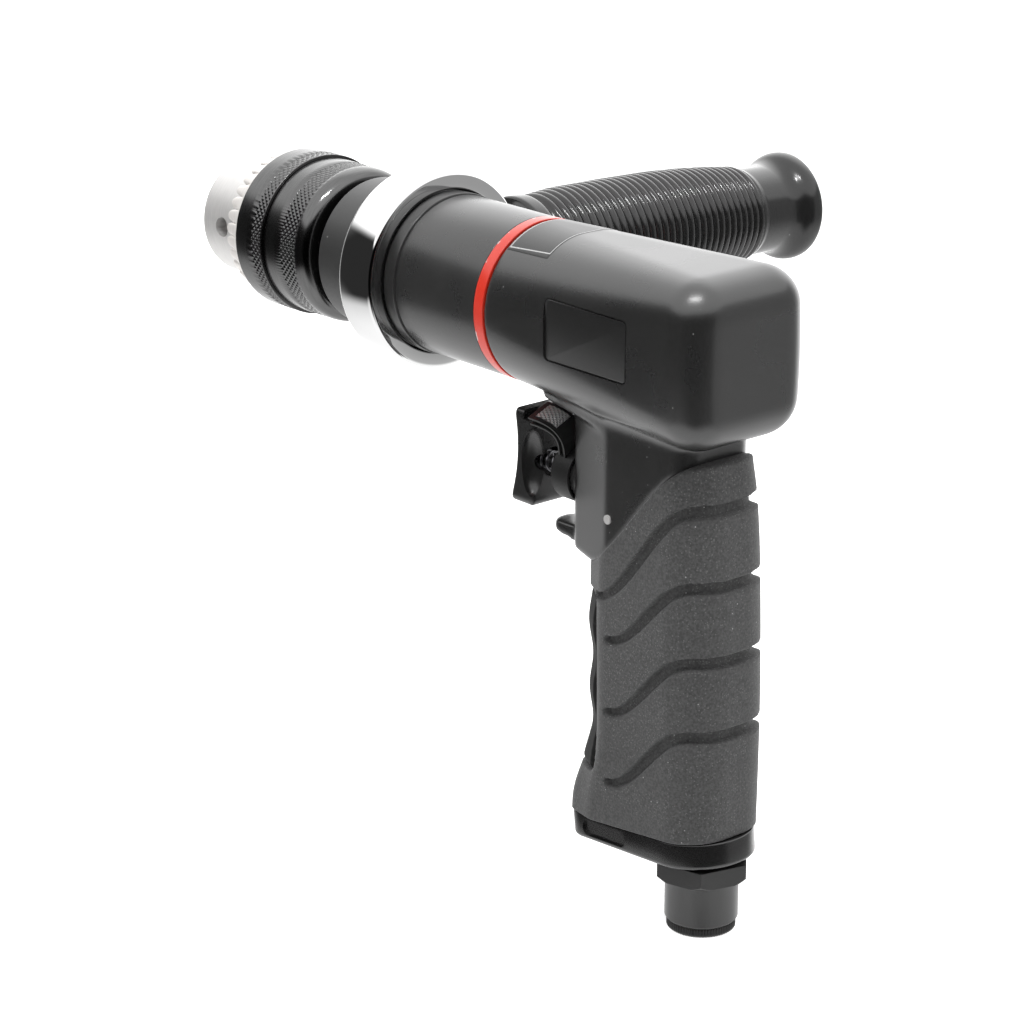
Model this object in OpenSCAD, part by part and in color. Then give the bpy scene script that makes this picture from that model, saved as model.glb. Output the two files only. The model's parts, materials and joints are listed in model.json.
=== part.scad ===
// Reversible pistol-grip air drill with a keyed chuck, a two-stage planetary
// gear train, a vane motor, a swinging side handle and a rubber-covered grip.
// Origin: centre of the chuck mouth. +X points out of the chuck, +Y to the
// left of the tool, +Z up. Millimetres.

/* [Chuck] */
// Length from the mouth to the rear face
chuck_len = 58; // [54:0.5:64]
// Radius of the nose in front of the sleeve
nose_r = 18; // [17:0.1:19]
// Radius of the turning sleeve
sleeve_r = 24; // [23.4:0.1:26]
// Length of the turning sleeve
sleeve_len = 20.5; // [19:0.1:22]
// Length of nose that stands out of the sleeve
nose_reach = 17.5; // [16:0.1:19]
// Radius of the rear ring of the chuck body
rear_ring_r = 22.3; // [21.6:0.1:23]
// Radius of the hole for the drill shank
shank_r = 6.7; // [6.4:0.05:7]
// Radius of a jaw
jaw_r = 3.2; // [3:0.05:3.4]
// Length of a jaw
jaw_len = 34; // [32:0.5:35]
// Slant of the jaws
jaw_slant = 15; // [14:0.5:16]
// How far the open jaws lie behind the mouth
jaw_back = 12; // [11:0.5:13]
// Travel of the jaws from open to closed
jaw_travel = 21; // [18:0.5:22]
// Number of teeth for the key on the sleeve
key_teeth = 34; // [30:1:38]
// Radius of the holes for the key
key_hole_r = 3; // [2.5:0.1:3.2]

/* [Gear housing] */
// Radius of the barrel
barrel_r = 23; // [22.4:0.1:24]
// Length of the barrel behind the collar
barrel_len = 39; // [37:0.5:44]
// Radius of the nose that carries the collar
collar_seat_r = 21.7; // [21:0.1:22]
// Length of the nose in front of the collar
front_nose_len = 18; // [17:0.5:22]
// Gap between the nose and the chuck
chuck_gap = 4.5; // [3:0.5:7]
// Width of the red ring
red_ring_w = 3.8; // [3:0.1:5]

/* [Side handle] */
// Radius of the collar
collar_r = 28.3; // [27:0.1:30]
// Width of the collar
collar_w = 14.2; // [13:0.1:18]
// Distance from the tool's axis to the start of the grip
handle_start = 30.5; // [29.5:0.5:36]
// Length of the handle's grip
handle_len = 115; // [110:1:135]
// Radius of the ribbed part at its widest
handle_r = 17.3; // [16:0.1:19]
// Number of ribs
handle_ribs = 31; // [20:1:36]
// Radius of the stud
stud_r = 5; // [4:0.1:5.5]
// Angle that the handle hangs below level
handle_droop = 1.7; // [0:0.1:5]

/* [Motor housing] */
// Length behind the red ring
housing_len = 82; // [77:0.5:90]
// Half of the width at the rear
housing_half_w = 21; // [20.6:0.1:24]
// Depth of the underside below the axis
housing_drop = 23.5; // [23:0.1:26]
// Radius of the rear corners
rear_corner_r = 10; // [8:0.5:12]
// Distance from the red ring to the neck's rear
neck_rear = 70; // [68:0.5:72]
// Distance from the red ring to the neck's front
neck_front = 14; // [13:0.5:16]
// Half of the neck's width
neck_half_w = 14.5; // [13.8:0.1:15]
// Radius of the fillet under the body
neck_fillet_r = 4.5; // [3:0.1:6]

/* [Grip] */
// Height of the rubber from its highest edge to the base
grip_h = 108; // [100:1:120]
// Depth of the rubber below the axis at its highest edge
grip_top = 28.5; // [28:0.5:32]
// Distance from the red ring to the grip's rear
grip_rear = 78; // [76:0.5:82]
// Distance from the red ring to the grip's front
grip_front = 28; // [26:0.5:32]
// Half of the grip's width
grip_half_w = 15.7; // [15.5:0.1:17]
// Thickness of the rubber
rubber_t = 2.4; // [2:0.1:3]
// Height between the curved grooves
groove_pitch = 21; // [18:0.5:24]
// Width of the curved grooves
groove_w = 2.1; // [1:0.1:3]
// Depth of the curved grooves
groove_d = 1.3; // [0.6:0.1:1.6]

/* [Trigger and reverse lever] */
// Depth of the trigger's axis below the tool's axis
trigger_drop = 45.5; // [44:0.5:48]
// Height of the trigger
trigger_h = 25; // [22:0.5:27]
// Width of the trigger
trigger_w = 16; // [14:0.5:17]
// Depth of the trigger, front to back
trigger_d = 9; // [8:0.5:10]
// Distance from the red ring forward to the trigger's front
trigger_front = 5.5; // [5:0.5:8]
// Travel of the trigger
trigger_travel = 5; // [3:0.5:5.5]
// Radius of the reverse valve
valve_r = 6; // [5.5:0.1:6.5]
// Radius from the valve's axis to the lever's thumb pad
lever_r = 18; // [17.6:0.1:18.4]
// Angle of the resting lever from upright
lever_angle = 23; // [15:1:28]

/* [Base and inlet] */
// Thickness of the base plate
base_t = 7.6; // [7:0.1:9]
// Half of the base plate's width
base_half_w = 13; // [12.5:0.1:15]
// Slope of the base plate
base_tilt = 6.8; // [4:0.1:9]
// Distance from the red ring to the base plate's front
base_front = 20.5; // [18:0.5:24]
// Distance from the red ring to the inlet's axis
inlet_back = 65.9; // [64:0.1:67]
// Width across the flats of the inlet's hexagon
inlet_flats = 24.4; // [22:0.1:25]
// Height of the inlet's hexagon
inlet_hex_h = 5.5; // [4:0.1:7]
// Radius of the inlet's cylinder
inlet_r = 10.2; // [9.5:0.1:10.6]
// Length of the inlet below the hexagon
inlet_len = 15.6; // [13:0.1:18]
// Radius of the threaded inlet hole
inlet_hole_r = 5.75; // [5.4:0.05:6]

/* [Motor and gears] */
// Radius of the cylinder liner
liner_r = 18.4; // [17.8:0.1:18.6]
// Length of the cylinder liner
liner_len = 44; // [40:1:46]
// Radius of the rotor
rotor_r = 13.4; // [13:0.1:13.8]
// Offset of the liner's bore from the rotor
liner_offset = 1.4; // [1:0.1:1.6]
// Number of vanes
vane_count = 5; // [4:1:6]
// Module of the gears
gear_module = 0.7; // [0.68:0.01:0.71]
// Width of the planet gears
gear_w = 6.5; // [5:0.5:7]
// Radius of the spindle
spindle_r = 8.5; // [8:0.1:9]

/* [Fits] */
// Running clearance of parts that turn or slide
run_gap = 0.06; // [0.03:0.01:0.1]
// Clearance between parts that are fixed together
seat_gap = 0.05; // [0.03:0.01:0.08]
// Open space between parts that pass each other
pass_gap = 0.5; // [0.4:0.1:0.8]

/* [Hidden] */
$fn = 72;
hull_fn = 32;
cut = 1;

// Stations along X, from the mouth back to the red ring's rear edge
chuck_rear = -chuck_len;
nose_front = chuck_rear - chuck_gap;
collar_front = nose_front - front_nose_len;
collar_rear = collar_front - collar_w;
barrel_rear = collar_rear - barrel_len;
ring_rear = barrel_rear - red_ring_w;

// Chuck
shank_play = 0.15;
jaw_tip_rise = 0.55;
jaw_open_r = shank_r + shank_play;
jaw_axis_tip_r = jaw_open_r + jaw_tip_rise;
jaw_axis_mouth_r = jaw_axis_tip_r - jaw_back * tan(jaw_slant);
jaw_closed_gap = 0.3;
jaw_angles = [60, 180, 300];
key_angles = [0, 120, 240];
sleeve_front = -nose_reach;
sleeve_rear = sleeve_front - sleeve_len;
sleeve_groove = 0.5;
sleeve_pocket_r = 21;
sleeve_band_len = 12.5;
sleeve_tooth_r = 21;
tooth_depth = 5.2;
tooth_floor_half_w = 0.6;
tooth_mouth_half_w = 1.5;
nut_w = 5;
nut_back = 9;
nut_front = sleeve_front - nut_back;
nut_clear = 0.1;
nut_float = 0.12;
nose_edge_r = 2.2;
ring_edge_r = 4;
shank_depth = 36;
screw_pocket = 4;
screw_floor = shank_depth + screw_pocket;
chuck_web = 4;
chuck_thread_r = 6.35;
chuck_screw_r = 2.5;
chuck_screw_head_r = 4.5;
chuck_screw_head_h = 3.5;
chuck_screw_len = 14;
chuck_screw_slot = 1.2;
key_hole_x = -10.5;
key_hole_floor_r = 13;

// Gear train
sun_teeth = 12;
planet_teeth = 18;
ring_teeth = 48;
pressure = 20;
addendum_share = 0.75;
dedendum_share = 1.0;
tooth_thin = 0.12;
gear_orbit_r = gear_module * (sun_teeth + planet_teeth) / 2;
planet_angles = [90, 210, 330];
planet_pin_r = 2;
carrier_r = 14.4;
carrier_w = 3.2;
flange_w = 4;
gear_side_gap = 0.7;
gear_cavity_r = 19.2;
ring_gear_wall_r = gear_cavity_r - seat_gap;
spigot_r = 20.4;
spigot_len = 8;
first_x0 = red_ring_w + gear_side_gap + seat_gap;
first_x1 = first_x0 + gear_w;
carrier_x0 = first_x1 + gear_side_gap;
carrier_x1 = carrier_x0 + carrier_w;
second_x0 = carrier_x1 + gear_side_gap;
second_x1 = second_x0 + gear_w;
flange_x0 = second_x1 + gear_side_gap;
flange_x1 = flange_x0 + flange_w;
gear_cavity_end = flange_x1 + gear_side_gap;

// Bearings
bearing_w = 8;
bearing_r = 15;
bearing_race = 2.2;
bearing_balls = 10;
rear_bearing_x = gear_cavity_end + seat_gap;
seal_w = 2.4;
nose_tip = red_ring_w + barrel_len + collar_w + front_nose_len;
front_bearing_x = nose_tip - seal_w - pass_gap - bearing_w;
seat_lip = 2;

// Motor
plate_front_w = 10;
plate_rear_w = 11.4;
shaft_r = 4;
rotor_bearing_r = 9;
rotor_bearing_w = 6;
rotor_bearing_race = 1.5;
rotor_bearing_balls = 8;
plate_lip = 1.5;
rotor_end_gap = 0.15;
rotor_skin_gap = 0.2;
vane_t = 2;
vane_depth = 6.5;
vane_gap = 0.06;
front_plate_x1 = -spigot_len;
liner_x1 = front_plate_x1 - plate_front_w;
liner_x0 = liner_x1 - liner_len;
rear_plate_x0 = liner_x0 - plate_rear_w;
liner_bore_r = rotor_r + liner_offset + rotor_skin_gap;
port_r = 1.5;
port_count = 6;
port_pitch = 5;

// Housing, neck and grip, measured back from the red ring
neck_front_half_w = 9.5;
neck_taper_back = 12;
neck_rear_r = 9;
neck_mid_r = 3;
neck_front_r = 3.5;
chin_drop = 64.5;
chin_slant = 3.5;
guard_reach = 9.1;
guard_t = 5.2;
guard_half_w = 5;
guard_tip_r = 1.2;
core_half_w = 11;
core_rear = 72.5;
grip_rear_r = 13;
grip_mid_r = 9;
grip_front_r = 7;
grip_front_share = 0.76;
grip_mid_back = 15;
section_points = 28;
grip_bottom = grip_top + grip_h;
grip_ring_shares = [1, 0.9, 0.78, 0.62, 0.3, 0];
finger_steps = 12;
body_points = 40;
rear_round_angles = [76, 58, 38, 18];
groove_steps = 8;
passage_fn = 16;
housing_fn = 36;
// Rows: share of the grip's height, then what the rear, front and side draw in
grip_height_shares = [0, 0.1, 0.25, 0.45, 0.65, 0.8, 0.88, 0.94, 1];
grip_rear_draw_shares = [0.38, 0.2, 0.1, 0.04, 0, 0, 0, 0, 0];
grip_front_draw_shares = [0, 0, 0, 0, 0.05, 0.04, -0.14, -0.36, -0.48];
grip_side_draw_shares = [0.07, 0.04, 0.01, 0, 0, 0.02, 0.06, 0.1, 0.15];
s_rear_back = 74;
s_front_back = 30;
s_top_drop = 35.5;
groove_front_back = 44;
groove_first_front_back = 38;
groove_first_drop = 31.5;
groove_drop = 21.5;
groove_first_depth = 40.5;
groove_count = 4;
window_back = 37.5;
window_top = 72;
window_bottom = 125;
window_gap = 1.1;
window_corner_r = 4;
finger_inset = 0.9;
finger_share = 0.62;
finger_wave = 0.45;
finger_pitch = 19.5;
feed_r = 2;
feed_side = 3;
feed_back = 26;
exhaust_r = 1.4;
exhaust_side = 9;
exhaust_back = 49;
inlet_passage_r = 3.4;
inlet_passage_back = 61.5;
valve_bore_end = 65;
silencer_len = 15;

// Badge on the left side
badge_back = 41;
badge_up = 1.5;
badge_len = 32;
badge_h = 17;
badge_t = 0.6;
badge_corner_r = 1.5;
badge_y = 20.9;

// Trigger group
trigger_rear = trigger_front - trigger_d;
trigger_top = 15;
trigger_round_r = 14.2;
trigger_hollow_r = 24;
trigger_hollow = 1.8;
trigger_scoop_r = 9;
trigger_scoop = 2.6;
spring_pocket = 5;
spring_pocket_r = 4.3;
spring_r = 3.2;
spring_wire_r = 0.45;
spring_turns = 5;
spring_sides = 6;
spring_rings = 8;
lever_boss_r = 7;
lever_seat = 1.6;
lever_back = neck_front - pass_gap / 2;
trigger_stop_gap = 0.65;
lever_boss_w = lever_back + trigger_rear - trigger_travel - trigger_stop_gap;
lever_arm_w = 6.5;
lever_arm_inset = 0.4;
lever_pad_t = 2.8;
lever_pad_w = 8;
lever_pad_front = -3.6;
lever_ridges = 5;
lever_ridge_w = 0.7;
lever_ridge_d = 0.5;
lever_ridge_pitch = 1.6;
stem_r = 1.4;
stem_hole_r = 2;
stem_tail = 46;
poppet_r = 3.6;
poppet_len = 5;
valve_len = 21;
valve_sleeve_t = 1.2;
bush_r = valve_r + valve_sleeve_t;
bushing_back = 36;
bushing_len = 26;
bushing_seat = 8.5;
bushing_chamber_r = 4.6;
pin_back = 42;
pin_drop = 3.9;
pin_r = 1.3;
pin_proud = 0.4;
seal_wire_r = 0.6;
seal_back = 38.5;
reverse_port_r = 2;

// Base and inlet
base_rear_r = base_half_w;
base_front_r = 7;
base_panel_len = 19;
base_panel_h = 4.6;
base_panel_d = 0.5;
base_panel_back = 40;
base_slot_w = 2;
base_slot_len = 14;
base_slot_sides = [5.2, 8.3];
base_slot_back = 50;
base_screw_r = 1.9;
base_screw_head_r = 3.4;
base_screw_head_h = 2.4;
base_screw_len = 18;
base_screw_backs = [36.8, 47];
inlet_stem_r = 6;
inlet_stem_len = 22;
inlet_thread_len = 13;
inlet_throat_r = 3.6;
inlet_rim_h = 2.4;
inlet_rim_r = 9.5;
inlet_rim_wall = 2.4;
rim_teeth = 60;
rim_tooth_d = 0.25;
inlet_edge = 0.8;
inlet_hex_edge = 0.5;
screen_t = 1.2;
screen_hole_r = 0.55;
screen_pitch = 1.7;
inlet_seal_wire_r = 0.9;
base_drop = 6.9;
inlet_hex_top = grip_bottom + base_drop;
inlet_hex_turn = 15;
inlet_corner_r = inlet_flats / 2 / cos(30);

// Collar and handle
collar_edge = 1.5;
collar_boss_r = 11.5;
stud_tip_gap = 0.15;
stud_len_in_grip = 32;
handle_flange_len = 6;
handle_flange_r = 16.5;
handle_dip_len = 2;
handle_rib_share = 0.713;
handle_neck_share = 0.11;
handle_knob_r = 17;
handle_neck_r = 13.6;
handle_end_r = 12.5;
rib_d = 0.9;
rib_steps = 4;

// Shared shapes

// Cylinder along X between two stations
module bar(r, x0, x1) {
    translate([x0, 0, 0]) rotate([0, 90, 0]) cylinder(r = r, h = x1 - x0);
}

// Cone along X between two stations
module taper(r0, r1, x0, x1) {
    translate([x0, 0, 0]) rotate([0, 90, 0]) cylinder(r1 = r0, r2 = r1, h = x1 - x0);
}

// Tube along X between two stations
module tube(r_out, r_in, x0, x1) {
    difference() {
        bar(r_out, x0, x1);
        bar(r_in, x0 - cut, x1 + cut);
    }
}

// Upright slot, longer along X than it is wide
module slot(r, h, sides) {
    hull() for (x = [r, -r]) translate([x, 0, 0]) cylinder(r = r, h = h, $fn = sides);
}

// Places what is measured from the red ring's rear edge
module at_ring() {
    translate([ring_rear, 0, 0]) children();
}

// Places what is measured on the trigger's axis
module at_trigger() {
    translate([ring_rear, 0, -trigger_drop]) children();
}

// Places what turns with the side handle's collar
module at_collar() {
    translate([(collar_front + collar_rear) / 2, 0, 0]) rotate([handle_droop, 0, 0]) children();
}

// Turns a shape about X, from upright, to each of some angles
module around(angles) {
    for (a = angles) rotate([a - 90, 0, 0]) children();
}

// Ball bearing: two races with a row of balls between them
module ball_bearing(r_in, r_out, w, race, balls, x0) {
    mid = (r_in + r_out) / 2;
    ball_r = (r_out - r_in) / 2 - race / 2;
    translate([x0, 0, 0]) {
        difference() {
            tube(r_out, r_out - race, 0, w);
            translate([w / 2, 0, 0]) rotate([0, 90, 0]) ball_track(mid, ball_r);
        }
        difference() {
            tube(r_in + race, r_in, 0, w);
            translate([w / 2, 0, 0]) rotate([0, 90, 0]) ball_track(mid, ball_r);
        }
        for (k = [1 : balls]) rotate([k * 360 / balls, 0, 0])
            translate([w / 2, mid, 0]) sphere(r = ball_r - run_gap, $fn = hull_fn);
    }
}

module ball_track(mid, ball_r) {
    rotate_extrude() translate([mid, 0]) circle(r = ball_r, $fn = hull_fn);
}

// Gear outlines: involute flanks between the root and the tip
function involute_angle(base_r, r) = sqrt(max(0, pow(r / base_r, 2) - 1)) * 180 / PI
    - acos(min(1, base_r / r));
function half_tooth_angle(teeth, r, thin) =
    let (pitch_r = gear_module * teeth / 2, base_r = pitch_r * cos(pressure))
    90 / teeth - thin / 2 / pitch_r * 180 / PI
    + involute_angle(base_r, pitch_r) - involute_angle(base_r, max(r, base_r));
flank_steps = 4;
function flank_radii(root_r, tip_r) = [
    for (k = [0 : flank_steps]) root_r + (tip_r - root_r) * k / flank_steps];
function polar(r, a) = [r * cos(a), r * sin(a)];
function gear_outline(teeth, root_r, tip_r, thin) = [
    for (t = [0 : teeth - 1]) let (mid = t * 360 / teeth) each concat(
        [for (r = flank_radii(root_r, tip_r)) polar(r, mid - half_tooth_angle(teeth, r, thin))],
        [for (k = [0 : flank_steps]) let (r = flank_radii(root_r, tip_r)[flank_steps - k])
            polar(r, mid + half_tooth_angle(teeth, r, thin))])
];

// Gear along X, with a tooth upright, or a gap upright when half is 1
module spur(teeth, x0, x1, half) {
    pitch_r = gear_module * teeth / 2;
    translate([x0, 0, 0]) rotate([90 + half * 180 / teeth, 0, 0]) rotate([90, 0, 90])
        linear_extrude(height = x1 - x0)
            polygon(gear_outline(teeth, pitch_r - dedendum_share * gear_module,
                pitch_r + addendum_share * gear_module, tooth_thin));
}

// Solid through a list of rings that have the same number of points
module loft(rings) {
    n = len(rings[0]);
    m = len(rings);
    polyhedron(
        points = [for (ring = rings) each ring],
        faces = concat(
            [[for (k = [0 : n - 1]) k]],
            [for (j = [0 : m - 2], k = [0 : n - 1]) each [
                [j * n + k, (j + 1) * n + (k + 1) % n, j * n + (k + 1) % n],
                [j * n + k, (j + 1) * n + k, (j + 1) * n + (k + 1) % n]]],
            [[for (k = [0 : n - 1]) m * n - 1 - k]]));
}

// Points round a set of circles [x, y, r], grown by d, and the same at height z
function reach(c, n) = c[0] * n[0] + c[1] * n[1] + c[2];
function widest(circles, n) = let (far = max([for (c = circles) reach(c, n)]))
    [for (c = circles) if (reach(c, n) == far) c][0];
function hull_points(circles, d, count) = [
    for (k = [0 : count - 1]) let (
        a = (k + 0.5) * 360 / count,
        n = [cos(a), sin(a)],
        c = widest(circles, n))
    [c[0] + (c[2] + d) * n[0], c[1] + (c[2] + d) * n[1]]
];
function hull_ring(circles, d, z) = [
    for (p = hull_points(circles, d, section_points)) [p[0], p[1], z]];

// Three pairs of circles that span a section from its rear to its front
function section(rear, front, half_w, front_half_w, rear_r, mid_r, front_r, mid_back) = [
    for (side = [1, -1]) each [
        [-rear + rear_r, side * (half_w - rear_r), rear_r],
        [-front - mid_back, side * (half_w - mid_r), mid_r],
        [-front - front_r, side * (front_half_w - front_r), front_r]]
];

neck_section = section(neck_rear, neck_front, neck_half_w, neck_front_half_w,
    neck_rear_r, neck_mid_r, neck_front_r, neck_taper_back);

core_section = section(core_rear, grip_front + finger_inset + rubber_t,
    core_half_w, core_half_w * grip_front_share,
    core_half_w - finger_inset, neck_mid_r, neck_front_r, neck_taper_back);

function grip_table(shares) = [
    for (k = [0 : len(grip_height_shares) - 1]) [grip_height_shares[k], shares[k]]];
function grip_section(t) = let (
    half_w = grip_half_w * (1 - lookup(t, grip_table(grip_side_draw_shares))))
    section(
        grip_rear - grip_rear_r * lookup(t, grip_table(grip_rear_draw_shares)),
        grip_front + grip_rear_r * lookup(t, grip_table(grip_front_draw_shares)),
        half_w, half_w * grip_front_share,
        grip_rear_r - (grip_half_w - half_w), grip_mid_r, grip_front_r, grip_mid_back);
function grip_ring(t, lift) = hull_ring(grip_section(t), 0, lift - grip_top - grip_h * t);

// The grip's outer form, a little longer than the rubber at both ends
module grip_form() {
    loft([for (t = grip_ring_shares) grip_ring(t, t == 0 ? cut : t == 1 ? -base_t : 0)]);
}

// Straight column with the grip's section at a share of its height, grown by d
module grip_column(t, d) {
    translate([0, 0, -2 * grip_bottom]) linear_extrude(height = 2 * grip_bottom)
        polygon(hull_points(grip_section(t), d, section_points));
}

// Hard core of the grip inside the rubber, grown by d, up to a depth below the axis
module grip_core(d, depth) {
    translate([0, 0, -2 * grip_bottom]) linear_extrude(height = 2 * grip_bottom - depth)
        polygon(hull_points(core_section, d, section_points));
}

// Depth of an S-shaped edge that falls from one station to another
function s_share(t) = let (u = max(0, min(1, t))) u * u * (3 - 2 * u);
function s_depth(x, x0, x1, top, drop) = top + drop * s_share((x - x0) / (x1 - x0));

// Points of an S-shaped line in side view, from rear to front
function s_line(x0, x1, top, drop) = [
    for (k = [0 : groove_steps]) let (x = x0 + (x1 - x0) * k / groove_steps)
    [x, -s_depth(x, x0, x1, top, drop)]
];

// Side-view outline, as wide as the tool, standing along Y
module side_slab(points) {
    rotate([90, 0, 0]) linear_extrude(height = 4 * grip_half_w, center = true) polygon(points);
}

// Everything below the rubber's S-shaped upper edge
module below_s_edge() {
    line = s_line(-s_rear_back, -s_front_back, grip_top, s_top_drop);
    side_slab(concat(
        [[-grip_rear - grip_rear_r, -grip_top]], line,
        [[0, -grip_top - s_top_drop], [0, -2 * grip_bottom],
            [-grip_rear - grip_rear_r, -2 * grip_bottom]]));
}

// Band of one curved groove, seen from the side
module groove_band(front_back, top, drop) {
    over = groove_w / 2;
    line = concat([[-s_rear_back - grip_rear_r, -top]],
        s_line(-s_rear_back, -front_back, top, drop), [[-front_back + over, -top - drop]]);
    last = len(line) - 1;
    side_slab(concat(
        [for (k = [0 : last]) line[k] + [0, k == last ? over / 2 : over]],
        [for (k = [0 : last]) line[last - k] - [0, k == 0 ? over / 2 : over]]));
}

// Opening in the rubber's front, seen from the side, drawn in by d
module finger_window(d) {
    rear = -window_back + d;
    side_slab([
        [0, -window_top - d], [rear + window_corner_r, -window_top - d],
        [rear, -window_top - window_corner_r], [rear, -window_bottom + window_corner_r],
        [rear + window_corner_r, -window_bottom + d], [0, -window_bottom + d]]);
}

// Plane of the base plate's underside, in the plate's own frame
module at_base() {
    translate([ring_rear - inlet_back, 0, -inlet_hex_top]) rotate([0, base_tilt, 0]) children();
}

// Everything above the base plate
module above_base() {
    at_base() translate([-2 * grip_rear, -2 * grip_rear, base_t])
        cube([4 * grip_rear, 4 * grip_rear, 4 * grip_bottom]);
}

// Motor housing

// Section of the body: a circle at the red ring, four corner circles at the rear
function body_circles(share) = [for (side = [1, -1], up = [1, -1]) [
    share * side * (housing_half_w - rear_corner_r),
    share * (up > 0 ? barrel_r - rear_corner_r : rear_corner_r - housing_drop),
    barrel_r + share * (rear_corner_r - barrel_r)]];
function body_ring(x, share, d) = [
    for (p = hull_points(body_circles(share), d, body_points)) [x, p[0], p[1]]];
body_shares = [1, 0.5, 0];

module body_form() {
    loft(concat(
        [for (a = rear_round_angles) body_ring(
            -housing_len + rear_corner_r * (1 - sin(a)), 1, rear_corner_r * (cos(a) - 1))],
        [for (share = body_shares) body_ring(-(housing_len - rear_corner_r) * share, share, 0)]));
}

// Neck from inside the body down to its chin, with the fillet under the body
module neck_form() {
    ledge = housing_drop - rear_corner_r;
    bottom = chin_drop + chin_slant;
    fillet_steps = 6;
    flare = [for (k = [0 : fillet_steps]) let (a = 90 * k / fillet_steps)
        [neck_fillet_r * (1 - cos(a)), housing_drop + neck_fillet_r * (1 - sin(a))]];
    loft(concat(
        [hull_ring(neck_section, 0, -bottom)],
        [for (f = flare) hull_ring(neck_section, f[0], -f[1])],
        [hull_ring(neck_section, neck_fillet_r, -ledge)]));
}

// Side view of the neck: cut back below the trigger to the grip's front
module neck_side() {
    side_slab([
        [-neck_front + neck_fillet_r + cut, cut], [-neck_rear - neck_rear_r, cut],
        [-neck_rear - neck_rear_r, -chin_drop - chin_slant - cut],
        [-grip_front - finger_inset, -chin_drop - chin_slant - cut],
        [-neck_front, -chin_drop], [-neck_front + neck_fillet_r + cut, -chin_drop]]);
}

// Tongue that guards the fingers under the trigger
module guard() {
    translate([0, 0, -chin_drop]) linear_extrude(height = guard_t) hull() {
        for (side = [1, -1]) {
            translate([-neck_front + guard_reach - guard_half_w / 2, side * guard_half_w / 2])
                circle(r = guard_half_w / 2, $fn = hull_fn);
            translate([-neck_front - neck_front_r, side * (guard_half_w - guard_tip_r)])
                circle(r = guard_tip_r, $fn = hull_fn);
        }
    }
}

// Hard finger front that shows through the rubber, with shallow waves
module finger_front() {
    span = window_bottom - window_top;
    wave = [for (k = [0 : finger_steps]) let (z = window_top + span * k / finger_steps)
        [-grip_front - finger_inset - finger_wave * (1 + cos(360 * (z - window_top) / finger_pitch)), -z]];
    intersection() {
        grip_column(finger_share, -finger_inset);
        finger_window(window_gap);
        side_slab(concat(wave, [[-inlet_back, -window_bottom], [-inlet_back, -window_top]]));
    }
}

module motor_housing() {
    color([0.07, 0.07, 0.075]) difference() {
        union() {
            at_ring() {
                body_form();
                intersection() {
                    neck_form();
                    neck_side();
                }
                guard();
                finger_front();
            }
            intersection() {
                at_ring() grip_core(0, grip_top + rubber_t);
                above_base();
            }
        }
        at_ring() {
            bar(liner_r + seat_gap, rear_plate_x0 - seat_gap, cut);
            bar(spigot_r + seat_gap, -spigot_len, cut);
            translate([0, 0, -trigger_drop])
                bar(bush_r + seat_gap, -valve_bore_end, cut, $fn = housing_fn);
            for (side = [1, -1]) {
                translate([-feed_back, side * feed_side, -trigger_drop])
                    slot(feed_r, trigger_drop - liner_bore_r, passage_fn);
                translate([-exhaust_back, side * exhaust_side, -2 * grip_bottom])
                    slot(exhaust_r + seat_gap, 2 * grip_bottom - liner_bore_r, passage_fn);
            }
            translate([-inlet_passage_back, 0, -inlet_hex_top + inlet_stem_len])
                cylinder(r = inlet_passage_r, h = inlet_hex_top - inlet_stem_len - trigger_drop,
                    $fn = passage_fn);
            translate([-inlet_back, 0, -inlet_hex_top]) cylinder(r = inlet_stem_r + seat_gap,
                h = inlet_stem_len + screen_t + seat_gap, $fn = housing_fn);
            translate([-pin_back, 0, -trigger_drop - pin_drop]) rotate([90, 0, 0])
                cylinder(r = pin_r + seat_gap, h = 4 * neck_half_w, center = true, $fn = passage_fn);
            badge_block(seat_gap, badge_t + cut);
        }
        base_screw_bodies(seat_gap);
    }
}

module rubber_grip() {
    color([0.16, 0.16, 0.165]) difference() {
        intersection() {
            at_ring() grip_form();
            above_base();
            at_ring() below_s_edge();
        }
        at_ring() {
            grip_core(seat_gap, 0);
            loft([hull_ring(neck_section, seat_gap, -chin_drop - chin_slant - seat_gap),
                hull_ring(neck_section, seat_gap, 0)]);
            finger_window(0);
            for (k = [0 : groove_count - 1]) let (top = groove_first_depth + k * groove_pitch) difference() {
                groove_band(k == 0 ? groove_first_front_back : groove_front_back, top,
                    k == 0 ? groove_first_drop : groove_drop);
                grip_column((top + groove_drop / 2 - grip_top) / grip_h, -groove_d);
            }
        }
    }
}

// Flat block of the badge, grown by d, standing out of the left side
module badge_block(d, t) {
    half_len = badge_len / 2 - badge_corner_r;
    half_h = badge_h / 2 - badge_corner_r;
    translate([-badge_back, badge_y + t, badge_up]) rotate([90, 0, 0]) linear_extrude(height = t)
        hull() for (x = [1, -1], z = [1, -1]) translate([x * half_len, z * half_h])
            circle(r = badge_corner_r + d, $fn = hull_fn);
}

module side_badge() {
    color([0.05, 0.05, 0.05]) at_ring() badge_block(0, badge_t);
}

module red_ring() {
    color([0.8, 0.12, 0.07]) at_ring() tube(barrel_r, spigot_r + seat_gap, 0, red_ring_w);
}

// Gear housing with its collar seat and bearing seats

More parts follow.
